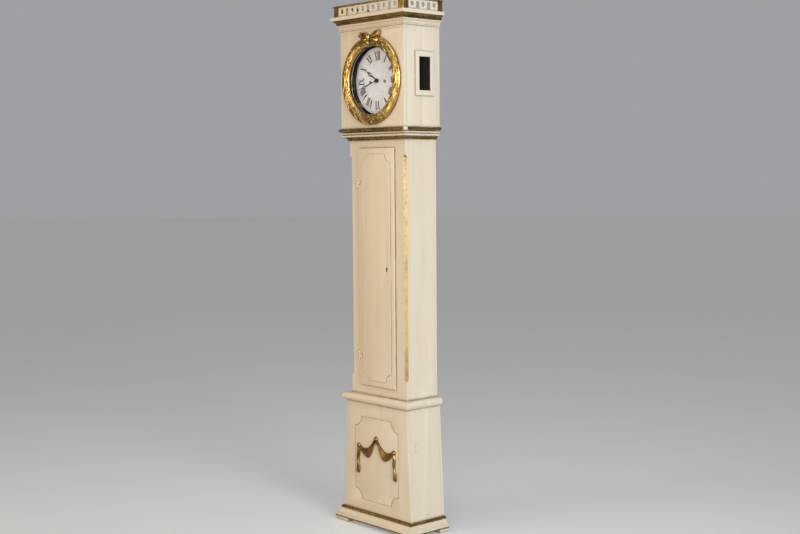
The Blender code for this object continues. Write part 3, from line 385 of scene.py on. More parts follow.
def metal(
    name, light, dark, rough, streak=(1, 1, 1), tarnish=(0.2, 0.13, 0.06), amount=0.35, steel=None
):
    """Worn metal; steel gives 1 where the piece is of steel instead."""
    p = Paint(name)
    colour = p.mix(p.noise(22, 5), light, dark)
    if steel:
        colour = p.mix(steel(p), colour, (0.130, 0.130, 0.136))
    spots = p.between(p.noise(64, 6, 0.7), 0.55, 0.72)
    colour = p.mix(p.times(spots, amount), colour, tarnish)
    colour = p.over(colour, p.crevice(0.004), 0.6, scaled_colour(tarnish, 0.3))
    p.set(Base_Color=colour, Metallic=p.between(spots, 0.0, 1.0, 1.0, 1.0 - amount))
    p.set(Roughness=p.patchy(80, rough - 0.07, rough + 0.12))
    lines = p.bump(p.noise(240, 4, 0.6, streak), 0.16, 0.0003)
    p.set(Normal=p.bump(p.noise(46, 3), 0.10, 0.0008, lines))
    return p.material


def cast_iron():
    p = Paint("cast_iron")
    colour = p.mix(p.noise(30, 6, 0.7), (0.050, 0.047, 0.045), (0.120, 0.090, 0.066))
    rust = p.between(p.noise(44, 6, 0.75), 0.58, 0.70)
    colour = p.over(colour, rust, 0.6, (0.190, 0.072, 0.026))
    p.set(Base_Color=colour, Metallic=p.between(rust, 0, 1, 0.8, 0.1))
    p.set(Roughness=p.patchy(50, 0.45, 0.75))
    p.set(Normal=p.bump(p.noise(120, 5, 0.7), 0.45, 0.0010))
    return p.material


def bare_pine():
    p = Paint("bare_pine")
    colour, normal = pine_colour(p)
    # painted shade: the wood darkened in its corners and grooves
    colour = p.over(colour, p.crevice(0.014), 0.6, (0.070, 0.040, 0.020))
    p.set(Base_Color=colour, Roughness=p.patchy(30, 0.62, 0.82), Normal=normal)
    return p.material


def gut_line():
    p = Paint("gut_line")
    twist = p.waves(260, "DIAGONAL", 0.6)
    colour = p.mix(twist, (0.470, 0.300, 0.135), (0.265, 0.150, 0.060))
    colour = p.over(colour, p.noise(60), 0.4, (0.200, 0.120, 0.055))
    p.set(Base_Color=colour, Roughness=p.patchy(90, 0.42, 0.62))
    p.set(Normal=p.bump(twist, 0.5, 0.0003))
    return p.material


def clear_glass(name="clear_glass", tint=(0.93, 0.97, 0.955, 1)):
    """Old window glass; lamps shine through it unbent."""
    p = Paint(name)
    p.set(Base_Color=tint, Roughness=0.025, IOR=1.30, Transmission_Weight=1.0)
    p.set(Normal=p.bump(p.noise(22, 2), 0.10, 0.0008))
    blend = p.node("MixShader", Fac=p.node("LightPath").outputs["Is Shadow Ray"])
    clear = p.node("BsdfTransparent")
    p.link(p.shader.outputs["BSDF"], blend.inputs[1])
    p.link(clear.outputs["BSDF"], blend.inputs[2])
    p.link(blend.outputs["Shader"], p.output.inputs["Surface"])
    return p.material


def numeral_black():
    p = Paint("numeral_black")
    worn = p.between(p.noise(210, 5, 0.7), 0.60, 0.72)
    colour = p.over((0.016, 0.016, 0.019), worn, 0.55, (0.150, 0.145, 0.145))
    p.set(Base_Color=colour, Roughness=p.patchy(120, 0.30, 0.50))
    p.set(Normal=p.bump(p.noise(240, 3), 0.15, 0.0002))
    return p.material


def inside_face(p):
    return p.between(p.outward(), -0.010, -0.002, 1.0, 0.0)


def under_the_hood(p):
    return p.math("MAXIMUM", inside_face(p), p.between(p.part_of(p.place, "Z"), 1.6710, 1.6716))


def not_an_edge(p):
    return p.between(p.math("ABSOLUTE", p.part_of(p.own_normal(), "X"), 0.0), 0.4, 0.6, 1.0, 0.0)


def not_on_top(p):
    return p.between(p.part_of(p.own_normal(), "Z"), -0.4, -0.2, 1.0, 0.0)


def arbor_of(node):
    """Where a turned piece is its steel arbor: within a few millimetres of its own axis."""
    low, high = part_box(node)
    x, z = (low.x + high.x) / 2, (low.z + high.z) / 2
    if node.endswith("barrel"):
        x, z = math.copysign(BARREL_X, x), BARREL_Z

    def share(p):
        across = p.vector("SUBTRACT", p.scaled((1, 0, 1)), (x, 0.0, z), "Vector")
        return p.between(p.vector("LENGTH", across), 0.0046, 0.0048, 1.0, 0.0)

    return share


GILDINGS = {  # the leaf's light and deep tones, share of dirt, roughness
    "dark_gilding": ((0.620, 0.420, 0.160), (0.350, 0.225, 0.080), 0.40, 0.18),
    "pale_gilding": ((0.640, 0.480, 0.240), (0.520, 0.360, 0.150), 0.30, 0.34),
    "swag_gilding": ((0.430, 0.270, 0.080), (0.200, 0.115, 0.032), 0.50, 0.28),
    "aged_gilding": ((0.600, 0.400, 0.130), (0.300, 0.180, 0.050), 0.45, 0.26),
}
TURNED = ("centre_wheel", "third_wheel", "escape_wheel", "going_barrel", "strike_barrel")
GREY, DARK_GREY = (0.500, 0.500, 0.510), (0.360, 0.355, 0.350)
BLUE_BLACK, BLACK = (0.030, 0.030, 0.036), (0.014, 0.014, 0.020)
# dark teal glass tint that also darkens the view into the hood as painted shade
WINDOW_TINT_AND_SHADE = (0.28, 0.38, 0.42, 1)
FINISHES = {
    "cream_paint": cream_paint(),
    "gilding": gilding(),
    "clear_glass": clear_glass(),
    "brass": metal("brass", BRASS, DEEP_BRASS, 0.26, BRUSHED),
    "steel": metal("steel", GREY, DARK_GREY, 0.34, BRUSHED),
    "blackened_steel": metal("blackened_steel", BLUE_BLACK, BLACK, 0.36, amount=0.2),
    "cast_iron": cast_iron(),
    "bare_pine": bare_pine(),
    "dial_enamel": dial_enamel(),
    "gut_line": gut_line(),
    "numerals": numeral_black(),
    "case_board": case_board("case_board_paint", inside_face),
    "trunk_cheek": case_board("trunk_cheek_paint", under_the_hood),
    "backboard": case_board("backboard_paint", not_an_edge, 0.8),
    "top_board": case_board("top_board_paint", not_on_top),
    # the inside faces are bare pine scaled to 0.12, near black: painted shade inside the closed
    # hood
    "hood_board_shaded_inside": case_board("hood_board_paint", inside_face, 0.12),
    "plinth_side": knotted_board(),
    "painted_hinge": painted_hinge(),
    "painted_shadow_lining": shadowed_lining(),
    # cream paint whose grime and painted shade reach 30 mm out from inner corners
    "grime_and_shade_paint": cream_paint("grime_and_shade_paint", 0.0300),
    "window_glass": clear_glass("window_glass", WINDOW_TINT_AND_SHADE),
}
for name, look in GILDINGS.items():
    FINISHES[name] = gilding(name, *look)
for name in TURNED:
    steel = arbor_of(name)
    FINISHES[name] = metal(f"{name}_brass", BRASS, DEEP_BRASS, 0.26, BRUSHED, steel=steel)
SLOT_OF = {  # of the finishes that pieces made here wear under another name than the slot's
    **dict.fromkeys(GILDINGS, "gilding"),
    **dict.fromkeys(("hood_board_shaded_inside", "painted_shadow_lining", "grime_and_shade_paint"), "cream_paint"),
}
CAD_FINISH = {
    **{name: name for name in TURNED},
    **{f"hinge_{leaf}_leaf": "painted_hinge" for leaf in HINGE_LEAVES},
    **{f"window_glass_{side}": "window_glass" for side, _ in SIDES},
    **{f"trunk_side_{side}": "trunk_cheek" for side, _ in SIDES},
    "backboard": "backboard",
    "hood_top_board": "top_board",
    "plinth_side_left": "case_board",
    "plinth_side_right": "plinth_side",
    "trunk_front_frame": "case_board",
}


# ---- shape tools --------------------------------------------------------------------------------
def finish_piece(name, bm, finish, body, replaces=(), smooth=True, sharp=35, soften=0.0):
    """Links the mesh as a piece that rides on a body; a finish is one of FINISHES."""
    bmesh.ops.remove_doubles(bm, verts=bm.verts, dist=1e-7)
    bmesh.ops.recalc_face_normals(bm, faces=bm.faces)
    mesh = bpy.data.meshes.new(name)
    bm.to_mesh(mesh)
    bm.free()
    if smooth:
        mesh.shade_smooth()
        mesh.set_sharp_from_angle(angle=math.radians(sharp))
    obj = bpy.data.objects.new(name, mesh)
    bpy.context.scene.collection.objects.link(obj)
    mesh.materials.append(FINISHES[finish])
    if soften:
        round_edges(obj, soften)
    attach(obj, body)
    if replaces:
        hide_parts(*replaces)
    return obj


def round_edges(obj, width, segments=2):
    bevel = obj.modifiers.new("rounded edges", "BEVEL")
    bevel.width = width
    bevel.segments = segments
    bevel.limit_method = "ANGLE"
    bevel.angle_limit = math.radians(38)
    bevel.harden_normals = False


def add_rings(bm, rings, closed_path=False, cap=True):
    made = [[bm.verts.new(p) for p in ring] for ring in rings]
    pairs = list(zip(made, made[1:]))
    if closed_path:
        pairs.append((made[-1], made[0]))
    elif cap:
        bm.faces.new(made[0])
        bm.faces.new(made[-1])
    count = len(made[0])
    for first, second in pairs:
        for i in range(count):
            j = (i + 1) % count
            bm.faces.new((first[i], first[j], second[j], second[i]))


def ring_piece(name, rings, finish, body, closed_path=False, **options):
    bm = bmesh.new()
    add_rings(bm, rings, closed_path=closed_path)
    return finish_piece(name, bm, finish, body, **options)


def arc(centre, radius, start, end, steps):
    """Points on a circle, its angles in degrees."""
    angles = [math.radians(start + (end - start) * i / steps) for i in range(steps + 1)]
    x, y = centre
    return [(x + radius * math.cos(a), y + radius * math.sin(a)) for a in angles]


def curve_through(points, steps=8):
    """A smooth (Catmull-Rom) line of numpy points through the given ones."""
    p = [np.array(q, float) for q in points]
    p = [2 * p[0] - p[1], *p, 2 * p[-1] - p[-2]]
    out = []
    for i in range(1, len(p) - 2):
        for k in range(steps):
            t = k / steps
            a, b, c, d = p[i - 1 : i + 3]
            square, cube = 2 * a - 5 * b + 4 * c - d, 3 * b - 3 * c + d - a
            out.append(0.5 * (2 * b + (c - a) * t + square * t**2 + cube * t**3))
    out.append(p[-2])
    return out


def curve_2d(points, steps=4):
    return [tuple(p) for p in curve_through(points, steps)]


def around(half, depth):
    """The plan path of a moulding round the left, front and right: x, depth and the way out."""
    return [(-half, 0.0, -1, 0), (-half, depth, -1, 1), (half, depth, 1, 1), (half, 0.0, 1, 0)]


def moulding(name, path, profile, finish, body, replaces=(), sharp=40):
    """A profile of (projection, z) points run along a plan path, mitred at its corners."""
    rings = [
        [(x + across * out, y_at(depth + forward * out), z) for out, z in profile]
        for x, depth, across, forward in path
    ]
    return ring_piece(name, rings, finish, body, replaces=replaces, sharp=sharp)


def lathe(bm, profile, centre, segments=64, upright=False, closed=False):
    """Adds a turned shape: (radius, depth) about an arbor, or (radius, z) about a vertical."""
    rings = []
    for radius, along in profile:
        ring = []
        for i in range(segments):
            a = 2 * math.pi * i / segments
            u, v = radius * math.cos(a), radius * math.sin(a)
            if upright:
                ring.append((centre[0] + u, y_at(centre[1]) + v, along))
            else:
                ring.append((centre[0] + u, y_at(along), centre[1] + v))
        rings.append(ring)
    add_rings(bm, rings, closed_path=closed)


def turned_piece(
    name, profile, centre, segments, finish, body, upright=False, closed=False, **options
):
    bm = bmesh.new()
    lathe(bm, profile, centre, segments, upright, closed)
    return finish_piece(name, bm, finish, body, **options)


def plane_matrix(face, at):
    """Takes a flat drawing (x, y, height) to the front, or to a side with x as depth."""
    if face == FRONT:
        return Matrix(((1, 0, 0, 0), (0, 0, -1, y_at(at)), (0, 1, 0, 0), (0, 0, 0, 1)))
    sign = -1 if face == LEFT else 1
    return Matrix(((0, 0, sign, at), (-1, 0, 0, BACK_Y), (0, 1, 0, 0), (0, 0, 0, 1)))


def plate_mesh(outlines, thickness, bevel, rounds=2):
    """A flat plate with holes and rounded edges, its back at height 0."""
    curve = bpy.data.curves.new("plate", "CURVE")
    curve.dimensions = "2D"
    curve.fill_mode = "BOTH"
    curve.bevel_depth = bevel
    curve.bevel_resolution = rounds if bevel else 0
    curve.offset = -bevel
    curve.extrude = thickness / 2 - bevel
    for outline in outlines:
        spline = curve.splines.new("POLY")
        spline.points.add(len(outline) - 1)
        for point, (x, y) in zip(spline.points, outline):
            point.co = (x, y, 0.0, 1.0)
        spline.use_cyclic_u = True
    obj = bpy.data.objects.new("plate", curve)
    bpy.context.scene.collection.objects.link(obj)
    graph = bpy.context.evaluated_depsgraph_get()
    mesh = bpy.data.meshes.new_from_object(obj.evaluated_get(graph))
    bpy.data.objects.remove(obj)
    bm = bmesh.new()
    bm.from_mesh(mesh)
    bpy.data.meshes.remove(mesh)
    bmesh.ops.remove_doubles(bm, verts=bm.verts, dist=1e-6)
    bmesh.ops.translate(bm, verts=bm.verts, vec=(0, 0, thickness / 2))
    return bm


def plate(
    name, outlines, face, at, thickness, finish, body, replaces=(), bevel=0.0006, rounds=2
):
    """A plate whose back lies in the plane at that depth, or at that x on a side."""
    bm = plate_mesh(outlines, thickness, bevel, rounds)
    bmesh.ops.transform(bm, matrix=plane_matrix(face, at), verts=bm.verts)
    return finish_piece(name, bm, finish, body, replaces, sharp=30)


def rectangle(x0, x1, y0, y1):
    return [(x0, y0), (x1, y0), (x1, y1), (x0, y1)]


def scooped(half, low, high, radius, steps=14):
    """A rectangle whose corners are quarter circles curving inwards."""
    corners = (
        ((half, low), 180, 90),
        ((half, high), 270, 180),
        ((-half, high), 0, -90),
        ((-half, low), 90, 0),
    )
    points = []
    for centre, start, end in corners:
        points += arc(centre, radius, start, end, steps)
    return points


# ---- case ---------------------------------------------------------------------------------------
def build_plinth():
    """The front board, with rails and a scooped panel parted by an incised line."""
    low, high, fine = 0.0623, 0.527, 0.0001
    wide, narrow = PLINTH_BASE_HALF, PLINTH_TOP_HALF
    skin, board_depth, board_thickness = 0.0016, 0.1721, 0.0163
    board = [(-wide, low), (wide, low), (narrow, high), (-narrow, high)]
    plate(
        "plinth_front_board", [board], FRONT, board_depth, board_thickness, "cream_paint", "case",
        ("plinth_front",), bevel=fine,
    )
    rails = [board, scooped(0.1387, 0.1083, 0.4677, 0.0432)]
    panel = [scooped(0.1373, 0.1097, 0.4663, 0.0448)]
    for name, outlines in (("rails", rails), ("panel", panel)):
        at = PLINTH_DEPTH - skin
        plate(
            f"plinth_front_{name}", outlines, FRONT, at, skin, "cream_paint", "case", bevel=0.0004
        )


def build_base_moulding():
    path = around(PLINTH_BASE_HALF, PLINTH_DEPTH - 0.001)
    wall, low, high = -0.016, 0.0205, 0.0500
    body = [(wall, low), (0.0298, low)] + arc((0.0285, 0.0230), 0.0025, -60, 0, 4)
    body += arc((0.0285, 0.0265), 0.0025, 0, 90, 5)
    body += curve_2d(
        [(0.0275, 0.0292), (0.0215, 0.0325), (0.0150, 0.0372), (0.0110, 0.0430), (0.0088, high)]
    )
    body += [(wall, high)]
    moulding("base_moulding_body", path, body, "cream_paint", "case", ("base_moulding",))
    low, high = 0.0503, 0.0618
    strip = [(wall, low), (0.0086, low)] + arc((0.0072, 0.0555), 0.0044, -70, 75, 8)
    strip += [(0.0066, high), (wall, high)]
    moulding("base_gilt_strip", path, strip, "dark_gilding", "case")
    low, high = 0.0143, 0.0202
    line = [(wall, low), (0.0270, low)] + arc((0.0268, 0.0173), 0.0026, -80, 80, 6)
    line += [(0.0270, high), (wall, high)]
    moulding("base_gilt_line", path, line, "dark_gilding", "case")


def build_waist():
    middle, radius = 0.54465, 0.01735
    profile = [(0.0006, middle - radius)] + arc((0.0156, middle), radius, -90, 90, 22)
    profile += [(0.0006, middle + radius)]
    path = around(TRUNK_HALF, TRUNK_DEPTH)
    cad = ("waist_moulding",)
    # painted shade: the torus darkens towards the boards above and below it
    moulding("waist_torus", path, profile, "grime_and_shade_paint", "case", cad)


def build_trunk_top():
    path = around(TRUNK_HALF, TRUNK_DEPTH)
    low, high, seam = 1.6493, 1.6703, 1.6490
    beads = [(WALL_GAP, low), (0.0215, low)] + arc((0.0212, 1.6541), 0.0043, -80, 80, 8)
    beads += [(0.0205, 1.6592), (0.0205, 1.6600)] + arc((0.0212, 1.6650), 0.0045, -80, 80, 8)
    beads += [(0.0215, high), (WALL_GAP, high)]
    moulding("trunk_top_beads", path, beads, "cream_paint", "case", ("trunk_top_moulding",))
    low = 1.6355
    cove = [(WALL_GAP, low), (0.0036, low)] + arc((0.0190, 1.6365), 0.0124, 178, 92, 9)
    cove += [(0.0200, seam), (WALL_GAP, seam)]
    moulding("trunk_top_gilt_cove", path, cove, "dark_gilding", "case")


def build_trunk_chamfers():
    """The gilded stopped chamfers on the trunk's front corners."""
    low, high, run, leg = 0.637, 1.575, 0.012, 0.0115
    sunk, proud, inset, stop = -0.0008, 0.00016, 0.03, 0.0015
    lengths = ((low + stop, 0.07), (low + run, 1.0), (high - run, 1.0), (high - stop, 0.07))
    corners = ((sunk, 1 - inset), (sunk, inset), (proud, inset), (proud, 1 - inset))
    for side, sign in SIDES:
        rings = []
        for z, share in lengths:
            size = leg * share
            ring = []
            for over, at in corners:
                x, d = TRUNK_HALF - size * (1 - at) + over, TRUNK_DEPTH - size * at + over
                ring.append((sign * x, y_at(d), z))
            rings.append(ring)
        name = f"chamfer_gilt_{side}"
        ring_piece(name, rings, "pale_gilding", "case", smooth=False)


def build_trunk_door():
    """A rebated door with a raised, scooped field and a keyhole."""
    half, low, high, face = 0.1115, 0.6030, 1.6020, 0.1723
    lock = (0.068, 1.1030)
    keyhole = arc(lock, 0.0035, -50, 230, 14) + [(0.0660, 1.0920), (0.0700, 1.0920)]
    rim = arc(lock, 0.0046, -52, 232, 14) + [(0.0650, 1.0912), (0.0710, 1.0912)]
    layers = (  # name, outline, depth of its back, thickness, edges
        ("rebate", rectangle(-0.0975, 0.0975, 0.6170, 1.5880), 0.1600, 0.0122, {"bevel": 0.0005}),
        ("frame", rectangle(-half, half, low, high), face, 0.0077, {"bevel": 0.0012}),
        (
            "field", scooped(0.0905, 0.6265, 1.5770, 0.035), 0.1799, 0.0030,
            {"bevel": 0.0014, "rounds": 4},
        ),
    )
    for name, outline, back, thickness, options in layers:
        cad = ("trunk_door",) if name == "frame" else ()
        plate(
            f"door_{name}", [
                outline, keyhole
            ], FRONT, back, thickness, "cream_paint", "trunk_door", cad,
            **options,
        )
    plate(
        "door_keyhole_rim", [rim, keyhole], FRONT, 0.1826, 0.0008, "blackened_steel", "trunk_door",
        bevel=0.0002,
    )


def build_case():
    build_plinth()
    build_base_moulding()
    build_waist()
    build_trunk_top()
    build_trunk_chamfers()
    build_trunk_door()


# ---- hood ---------------------------------------------------------------------------------------
WINDOW = ((0.0535, 0.1175), (1.8315, 1.9700))
WINDOW_FRAME = ((0.0335, 0.1375), (1.8115, 1.9900))


def build_hood_side(side, sign):
    """Two upright boards with an open seam between them, and a framed window across it."""
    inner = sign * (HOOD_HALF - HOOD_BOARD)
    low, high, seam, gap, edge = HOOD_BOTTOM, HOOD_TOP, 0.1010, 0.0003, 0.1830
    (w0, w1), (z0, z1) = WINDOW
    rear = [
        (0, low), (seam, low), (seam, z0), (w0, z0), (w0, z1), (seam, z1), (seam, high), (0, high)
    ]
    face = seam + gap
    front = [(face, low), (edge, low), (edge, high), (face, high), (face, z1), (w1, z1), (w1, z0)]
    front += [(face, z0)]
    for name, outline, cad in (("rear", rear, (f"hood_side_{side}",)), ("front", front, ())):
        plate(
            f"hood_side_{side}_{name}_board", [
                outline
            ], side, inner, HOOD_BOARD, "hood_board_shaded_inside", "hood",
            cad, bevel=0.0005,
        )
    (f0, f1), (g0, g1) = WINDOW_FRAME
    profile = [(0.0, -0.0010), (0.0, 0.0036)] + arc((0.0020, 0.0036), 0.0020, 180, 90, 4)
    profile += [(0.0110, 0.0056), (0.0118, 0.0060)]
    profile += arc((0.0168, 0.0012), 0.0048, 90, 15, 6) + [(0.0200, 0.0004), (0.0200, -0.0010)]
    rings = [
        [(sign * (HOOD_HALF + h), y_at(d + ad * s), z + az * s) for s, h in profile]
        for d, z, ad, az in ((f0, g0, 1, 1), (f1, g0, -1, 1), (f1, g1, -1, -1), (f0, g1, 1, -1))
    ]
    ring_piece(f"window_frame_{side}", rings, "cream_paint", "hood", closed_path=True, sharp=40)


def build_hood_base():
    """The gilded half-round under the hood, with a plain painted block let in at one corner."""
    wall, (low, high), gap, proud = -0.0225, HOOD_BEAD, 0.0003, 0.0078
    bead = [(wall, low), (0.0040, low)] + arc((0.0026, 1.6781), 0.0064, -75, 75, 12)
    bead += [(0.0040, high), (wall, high)]
    x_end, d_end = 0.2005, 0.1845
    left = [(-HOOD_HALF, 0.0, -1, 0), (-HOOD_HALF, HOOD_DEPTH, -1, 1), (x_end, HOOD_DEPTH, 0, 1)]
    right = [(HOOD_HALF, d_end, 1, 0), (HOOD_HALF, 0.0, 1, 0)]
    for name, path, cad in (("front", left, ("hood_base_moulding",)), ("right", right, ())):
        moulding(
            f"hood_gilt_bead_{name}", path, bead, "dark_gilding", "hood", cad
        )
    plan = rectangle(x_end + gap, HOOD_HALF + proud, d_end + gap, HOOD_DEPTH + proud)
    rings = [[(x, y_at(d), z) for x, d in plan] for z in HOOD_BEAD]
    ring_piece("hood_corner_block", rings, "cream_paint", "hood", smooth=False, soften=0.0010)


def build_cornice():
    path = around(HOOD_HALF, HOOD_DEPTH)
    low, high = 2.0932, 2.1196
    bed = [(WALL_GAP, low), (0.0030, low), (0.0036, 2.0972), (0.0030, 2.0978), (0.0044, 2.0984)]
    bed += curve_2d([(0.0052, 2.1000), (0.0056, 2.1040), (0.0076, 2.1085), (0.0092, 2.1100)])
    bed += arc((0.0096, 2.1150), 0.0040, -60, 85, 8) + [(0.0100, high), (WALL_GAP, high)]
    moulding("cornice_bed_mould", path, bed, "cream_paint", "hood", ("hood_cornice",))
    low, high = 2.1199, 2.1367
    cove = [(WALL_GAP, low), (0.0114, low)]
    cove += [(0.0284 - x, 2.1200 + z) for x, z in arc((0.0, 0.0), 0.0165, 0, 84, 9)]
    cove += [(0.0280, high), (WALL_GAP, high)]
    moulding("cornice_gilt_cove", path, cove, "dark_gilding", "hood")
    low, high = 2.1370, 2.1520
    top = [(WALL_GAP, low), (0.0296, low)] + arc((0.0292, 2.1388), 0.0018, -80, 0, 4)
    top += arc((0.0292, 2.1502), 0.0018, 0, 90, 4) + [(WALL_GAP, high)]
    moulding("cornice_fillet", path, top, "cream_paint", "hood")


HOLE_Z, HOLE_HALF, HOLE_FOOT = 2.1745, 0.0098, 2.1560


def pierced(middle, round_one):
    """A hole in the gallery: round, or arched with a square foot."""
    if round_one:
        return arc((middle, HOLE_Z), HOLE_HALF, 0, 350, 35)
    head = arc((middle, HOLE_Z + 0.0015), HOLE_HALF, 0, 180, 20)
    return head + [(middle - HOLE_HALF, HOLE_FOOT), (middle + HOLE_HALF, HOLE_FOOT)]


def build_gallery():
    """Three pierced boards between gilded blocks, under a gilded cap."""
    out, thick, low, top = 0.018, 0.0075, 2.1523, 2.1925
    outer, forward, proud = HOOD_HALF + out, HOOD_DEPTH + out, 0.0006
    front_pitch, side_pitch, side_middle = 0.0334, 0.0304, 0.1060

    def board(name, outline, holes, face, at):
        outlines, cad = [outline, *holes], (f"gallery_{name}",)
        plate(
            f"gallery_{name}_board", outlines, face, at, thick, "cream_paint", "hood", cad,
            bevel=0.0007,
        )

    holes = [pierced(step * front_pitch, step % 2 == 1) for step in range(-5, 6)]
    outline = rectangle(-outer + 0.0300, outer - 0.0300, low, top)
    board("front", outline, holes, FRONT, forward - thick)
    for side, sign in SIDES:
        holes = [pierced(side_middle + step * side_pitch, step % 2 == 0) for step in range(-2, 3)]
        outline = rectangle(0.0265, forward - 0.0290, low, top)
        board(side, outline, holes, side, sign * (outer - thick))
        front = rectangle(outer - 0.0302, outer + proud, forward - 0.0292, forward + proud)
        back = rectangle(outer - 0.0100, outer + proud, 0.0, 0.0262)
        for end, plan in (("front", front), ("back", back)):
            rings = [[(sign * x, y_at(d), z) for x, d in plan] for z in (low, top)]
            name = f"gallery_block_{end}_{side}"
            ring_piece(
                name, rings, "aged_gilding", "hood", smooth=False, soften=0.0012
            )
    inset = 0.004
    path = around(outer - inset, forward - inset)
    low, high, back = 2.1928, 2.1999, -0.0060
    cap = [(back, low), (0.0050, low)] + arc((0.0046, 2.1962), 0.0034, -80, 80, 8)
    cap += [(0.0040, high), (back, high)]
    moulding("gallery_gilt_cap", path, cap, "gilding", "hood")


def build_hood_door():
    outline = rectangle(-HOOD_HALF, HOOD_HALF, HOOD_BOTTOM, HOOD_DOOR_TOP)
    hole = arc(CENTRE, 0.1420, 0, 357.5, 143)
    plate(
        "hood_door_board", [outline, hole], FRONT, HOOD_DEPTH - HOOD_DOOR, HOOD_DOOR, "hood_board_shaded_inside",
        "hood_door", ("hood_door",),
    )
    # a thin near-black ring round the dial opening, as painted shadow
    inner, outer, back, front = 0.1412, 0.1418, 0.1890, 0.1981
    lining = [(outer, back), (inner, back), (inner, front), (outer, front)]
    turned_piece(
        "bezel_shadow_lining", lining, CENTRE, 160, "painted_shadow_lining", "hood_door", closed=True
    )
    build_wreath()
    build_bow()


BINDINGS = 8  # ribbons round the wreath, and leaves between each two


def build_wreath():
    """A carved half-round of overlapping laurel leaves, bound with slanting ribbon."""
    around_steps, across_steps = 1260, 40
    middle, half, inner, outer = 0.16075, 0.0206, 0.1410, 0.1800
    back, base, height, roundness, spread = 0.1983, 0.2020, 0.0088, 2.2, 0.28
    rings = []
    for i in range(around_steps):
        turn = i / around_steps
        a = 2 * math.pi * turn
        ring = []
        for j in range(across_steps + 1):
            s = 2 * j / across_steps - 1
            rise = math.sqrt(max(0.0, 1 - abs(s) ** roundness))
            relief = wreath_relief(turn, s)
            radius = middle + s * (half + spread * relief)
            ring.append((radius, base + height * rise + relief * (0.35 + 0.65 * rise)))
        ring += [(outer, back), (inner, back)]
        rings.append([(r * math.cos(a), y_at(d), CENTRE[1] + r * math.sin(a)) for r, d in ring])
    ring_piece(
        "bezel_laurel", rings, "gilding", "hood_door", closed_path=True, replaces=(
            "bezel_wreath",
        ), sharp=60
    )


def wreath_relief(turn, s):
    """Height of the carving at turn round the ring and s across it, -1 inside to 1 outside."""
    down = 1.0 - abs((turn + 0.75) % 1.0 - 0.5) * 2
    slant = 0.34 if turn < 0.25 or turn > 0.75 else -0.34
    wrap = (turn * BINDINGS + 0.5 + slant * s) % 1.0
    band, wrap_length = 0.11, 0.126
    if wrap < band:
        to_edge = min(wrap, band - wrap) * wrap_length
        crease = 0.22 * math.exp(-(((wrap / band - 0.5) / 0.16) ** 2))
        return 0.0006 + 0.0027 * smooth_step(to_edge / 0.0026) * (1 - crease)
    clear = smooth_step(min(wrap - band, 1.0 - wrap) * wrap_length / 0.0060)
    height = 0.0
    for row, shift in ((-0.60, 0.0), (0.02, 0.5), (0.64, 0.2)):
        t = (down * BINDINGS + shift - 0.16 * abs(s - row)) % 1.0
        middle = row + 0.16 * row * (t - 0.4)
        width = 0.43 * max(0.0, math.sin(math.pi * t**0.75)) ** 0.75
        off = abs(s - middle)
        if off < width:
            domed = (1 - (off / width) ** 2) ** 0.45
            vein = 0.22 * math.exp(-((off / 0.05) ** 2)) * (1 - t)
            height = max(height, (0.35 + 0.65 * t) * (domed - vein))
    return 0.0006 + 0.0034 * height * clear


def smooth_step(t):
    t = min(1.0, max(0.0, t))
    return t * t * (3 - 2 * t)


RIBBON_SECTION = (  # across in half-widths, out in half-thicknesses
    (-1, 0.4), (-0.8, 1), (0, 1.25), (0.8, 1), (1, 0.4),
    (1, -0.4), (0.8, -1), (0, -0.75), (-0.8, -1), (-1, -0.4),
)


def ribbon(bm, centre_line, half_widths, thickness):
    """A flat ribbon as a closed strip; points and half-widths are (x, depth, z)."""
    line = curve_through(centre_line, 7)
    wide = curve_through(half_widths, 7)
    rings = []
    for i, (point, w) in enumerate(zip(line, wide)):
        ahead = line[min(i + 1, len(line) - 1)] - line[max(i - 1, 0)]
        normal = np.cross(ahead, w)
        normal *= thickness / 2 / max(np.linalg.norm(normal), 1e-9)
        ring = []
        for across, out in RIBBON_SECTION:
            x, d, z = point + w * across + normal * out
            ring.append((x, y_at(d), z))
        rings.append(ring)
    add_rings(bm, rings)


def build_bow():
    """Two loops and two tails, a short drop between them, and a pleated knot over all."""
    tail_line = [
        (0.004, 0.2150, 2.050), (0.018, 0.2180, 2.043), (0.034, 0.2180, 2.0425), (
            0.048, 0.2160, 2.0375
        ),
        (0.060, 0.2140, 2.0400),
    ]
    spread = [
        (-0.001, 0.001, 0.0040), (-0.003, 0.001, 0.0060), (0.001, 0.001, 0.0070), (
            -0.002, 0.002, 0.0065
        ),
        (0.003, 0.001, 0.0060),
    ]
    drop = [
        (0.000, 0.2205, 2.052), (0.002, 0.2215, 2.044), (-0.002, 0.2195, 2.036),
        (0.001, 0.2185, 2.0290),
    ]
    drop_spread = [
        (0.0050, 0.001, 0), (0.0085, 0.001, 0.001), (0.0080, -0.002, 0), (0.0040, 0, 0.001)
    ]
    thickness = 0.0030
    for side, sign in SIDES:
        bm = bmesh.new()
        bow_lobe(bm, sign)
        finish_piece(f"bow_loop_{side}", bm, "gilding", "hood_door", sharp=70)
        mirrored = [[np.array(p) * (sign, 1, 1) for p in points] for points in (tail_line, spread)]
        bm = bmesh.new()
        ribbon(bm, *mirrored, thickness)
        finish_piece(f"bow_tail_{side}", bm, "gilding", "hood_door", sharp=60)
    bm = bmesh.new()
    ribbon(bm, drop, drop_spread, thickness)
    finish_piece("bow_drop", bm, "gilding", "hood_door", sharp=60)
    build_bow_knot()


